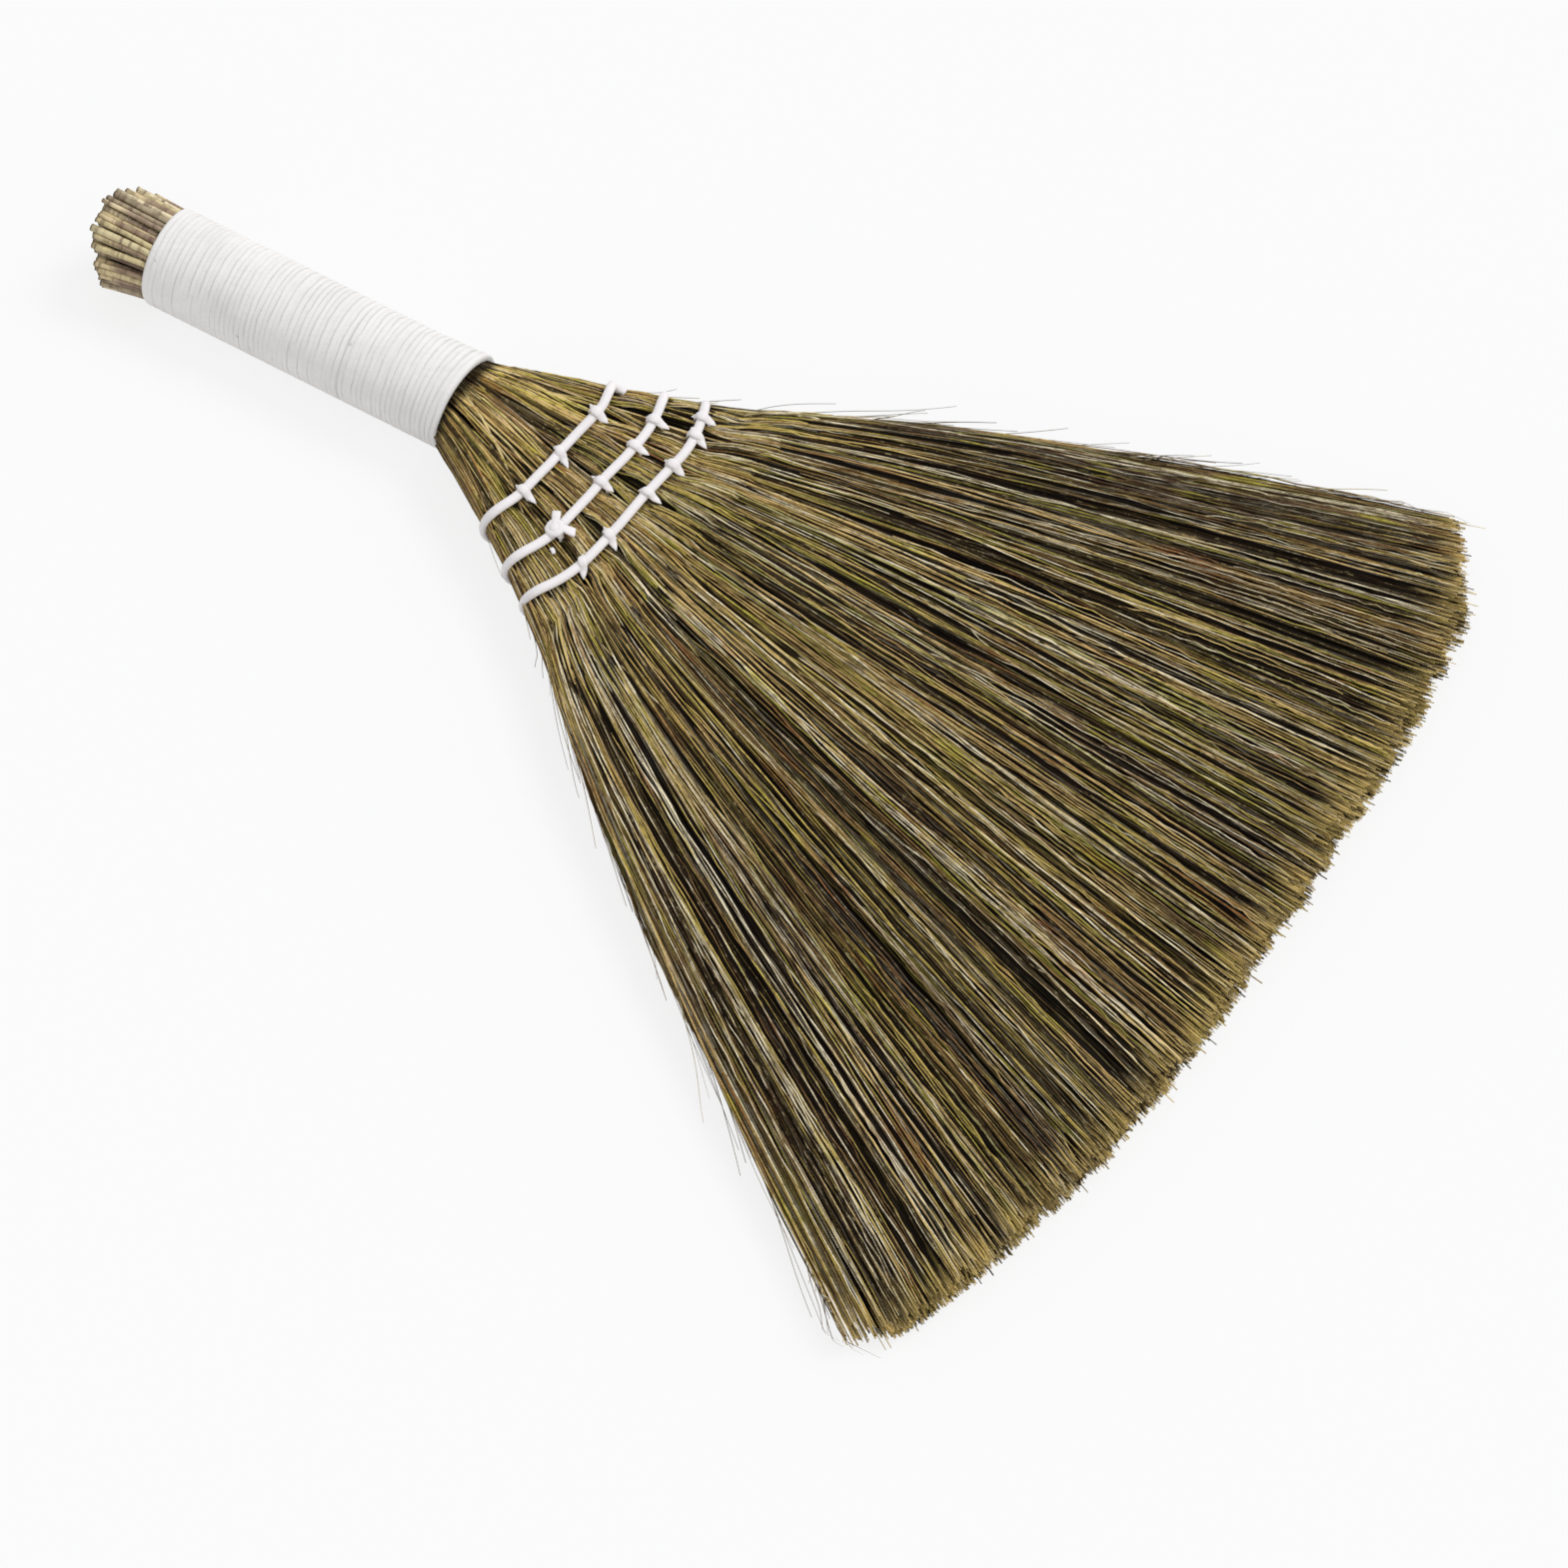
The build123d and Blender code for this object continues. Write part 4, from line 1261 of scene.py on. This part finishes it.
def knot_tubes(site):
    """The finishing knot: a lump on the row cord, two cut tails, and the end run through."""
    def over(*points):
        return [(ahead, aside, site.crest + up) for ahead, aside, up in points]

    loop = over((-1.9, -1.4, -0.6), (0.0, -2.1, 0.0), (1.8, -1.0, 0.5), (1.5, 1.1, 0.7),
                (-0.5, 1.9, 0.6), (-2.1, 0.6, 0.2))
    tubes = [site.cord(loop + loop[:1], 3.0, 0.7, fine=5, closed=True),
             site.cord(over((-3.0, -0.6, -2.4), (-1.8, -0.3, 0.2), (0, 0, 1.0), (1.7, 0.3, 0.4),
                            (2.6, 0.4, -2.2)), (2.6, 3.4, 4.0, 3.4, 2.4), 0.4, fine=5)]
    for angle, length, width in KNOT_TAILS:
        c, s = cos(radians(angle)), sin(radians(angle))
        tail = over(*((out * c, out * s, up)
                      for out, up in ((0.6, 1.0), (2.6, 0.9), (4.6, -0.6), (length, -1.9))))
        tubes.append(site.cord(tail, (2.2, 0.85 * width, width, 1.06 * width), 0.42, fine=5,
                               square=0.7))
    tubes.append(free_end(RUN_THROUGH_END, RUN_THROUGH_WIDTHS))
    return tubes


def resampled(values, fine):
    """Values at each point of a way that was smoothed fine times over."""
    values = np.array(values, float)
    places = np.arange(0, len(values) - 1 + 1e-9, 1 / fine)
    return np.interp(places, np.arange(len(values)), values)


def smoothed_way(points, fine):
    """A smooth way through points, with fine steps between each two."""
    points = np.array(points, float)
    padded = np.vstack([2 * points[0] - points[1], points, 2 * points[-1] - points[-2]])
    out = []
    for i in range(1, len(padded) - 2):
        p0, p1, p2, p3 = padded[i - 1:i + 3]
        for k in range(fine):
            t = k / fine
            out.append(0.5 * (2 * p1 + (p2 - p0) * t + (2 * p0 - 5 * p1 + 4 * p2 - p3) * t ** 2
                              + (3 * p1 - p0 - 3 * p2 + p3) * t ** 3))
    out.append(points[-1])
    return np.array(out)


class BROOM_OT_stitches(bpy.types.Operator):
    """Ties the stitches over the rows of cord, and the finishing knot"""
    bl_idname = "broom.stitches"
    bl_label = "Stitches and knot"

    def execute(self, context):
        sizes = context.scene.broom_cord
        material = cord_finish("stitch_cord", tuple(sizes.row_white), 0.9)
        for row, places in enumerate(STITCH_PLACES):
            for index in range(len(places)):
                rng = np.random.default_rng(STITCH_SEED + 10 * row + index)
                knot = row == KNOT_ROW and index == 0
                node = "finishing_knot" if knot else f"stitch_{row + 1}_{index + 1}"
                site = StitchSite(row, index)
                level = site.lean
                site.lean += radians(STITCH_LEANS[row][index]) + rng.normal(0, 0.05)
                tubes = stitch_tubes(site, sizes.stitch_width / MM, rng)
                if knot:
                    # The knot hides the ear and the point, and lies square to its row
                    site.lean = level
                    tubes = tubes[::3] + knot_tubes(site)
                finished(cord_piece(f"{node}_dressed", tubes), node, material)
        return {"FINISHED"}


class BROOM_OT_ties(bpy.types.Operator):
    """Gives the inner ties under the winding their finish"""
    bl_idname = "broom.ties"
    bl_label = "Inner ties"

    def execute(self, context):
        material = tie_finish()
        for number in (1, 2):
            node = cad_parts[f"inner_tie_{number}"]
            node.data.materials.clear()
            node.data.materials.append(material)
        return {"FINISHED"}


def looking(way):
    """The turn of a camera or light that looks along a way."""
    return Vector(way).to_track_quat("-Z", "Y").to_euler()


class BROOM_OT_stage(bpy.types.Operator):
    """Sets the floor, the light and the camera"""
    bl_idname = "broom.stage"
    bl_label = "Stage"

    def execute(self, context):
        sizes = context.scene.broom_stage
        bpy.ops.object.select_all(action="DESELECT")
        bpy.ops.mesh.primitive_plane_add(size=sizes.floor_size, location=(0, 0, 0))
        floor = context.object
        floor.name = "floor"
        floor.data.materials.append(floor_finish())

        world = bpy.data.worlds.new("sky")
        context.scene.world = world
        world.use_nodes = True
        nodes = Nodes(world.node_tree)
        strength = nodes.seen() * (SEEN_SKY - sizes.sky_strength) + sizes.sky_strength
        nodes.fill(nodes.tree.nodes["Background"], {"Color": (1, 1, 1, 1), "Strength": strength})

        bpy.ops.object.light_add(type="SUN", location=SUN_AT)
        sun = context.object
        sun.name = "soft_sun"
        sun.data.energy = sizes.sun_strength
        sun.data.angle = SUN_SPREAD
        sun.rotation_euler = looking(SUN_WAY)

        bpy.ops.object.camera_add(location=[c * MM for c in CAMERA_AT])
        camera = context.object
        camera.data.lens = CAMERA_LENS
        camera.data.sensor_width = CAMERA_SENSOR
        camera.data.clip_start, camera.data.clip_end = CAMERA_CLIP
        camera.rotation_euler = looking(Vector(CAMERA_AIM) - Vector(CAMERA_AT))
        context.scene.camera = camera
        context.scene.view_settings.view_transform = "Standard"
        return {"FINISHED"}


class BROOM_PT_panel(bpy.types.Panel):
    bl_idname = "BROOM_PT_panel"
    bl_label = "Straw Hand Broom"
    bl_space_type = "VIEW_3D"
    bl_region_type = "UI"
    bl_category = "Broom"

    def draw(self, context):
        layout = self.layout
        for group in ("broom_straw", "broom_cord", "broom_stage"):
            settings = getattr(context.scene, group)
            box = layout.box()
            for name in settings.bl_rna.properties.keys():
                if name not in ("rna_type", "name"):
                    box.prop(settings, name)
        for operator in STEPS:
            layout.operator(operator.bl_idname)


STEPS = (BROOM_OT_straws, BROOM_OT_stalks, BROOM_OT_winding, BROOM_OT_row_cords,
         BROOM_OT_stitches, BROOM_OT_ties, BROOM_OT_stage)
CLASSES = (StrawSizes, CordSizes, StageSizes, *STEPS, BROOM_PT_panel)


def register():
    for each in CLASSES:
        bpy.utils.register_class(each)
    bpy.types.Scene.broom_straw = bpy.props.PointerProperty(type=StrawSizes)
    bpy.types.Scene.broom_cord = bpy.props.PointerProperty(type=CordSizes)
    bpy.types.Scene.broom_stage = bpy.props.PointerProperty(type=StageSizes)


def unregister():
    del bpy.types.Scene.broom_stage
    del bpy.types.Scene.broom_cord
    del bpy.types.Scene.broom_straw
    for each in reversed(CLASSES):
        bpy.utils.unregister_class(each)


def main():
    register()
    bpy.ops.broom.straws()
    bpy.ops.broom.stalks()
    bpy.ops.broom.winding()
    bpy.ops.broom.row_cords()
    bpy.ops.broom.stitches()
    bpy.ops.broom.ties()
    bpy.ops.broom.stage()


if __name__ == "__main__":
    main()
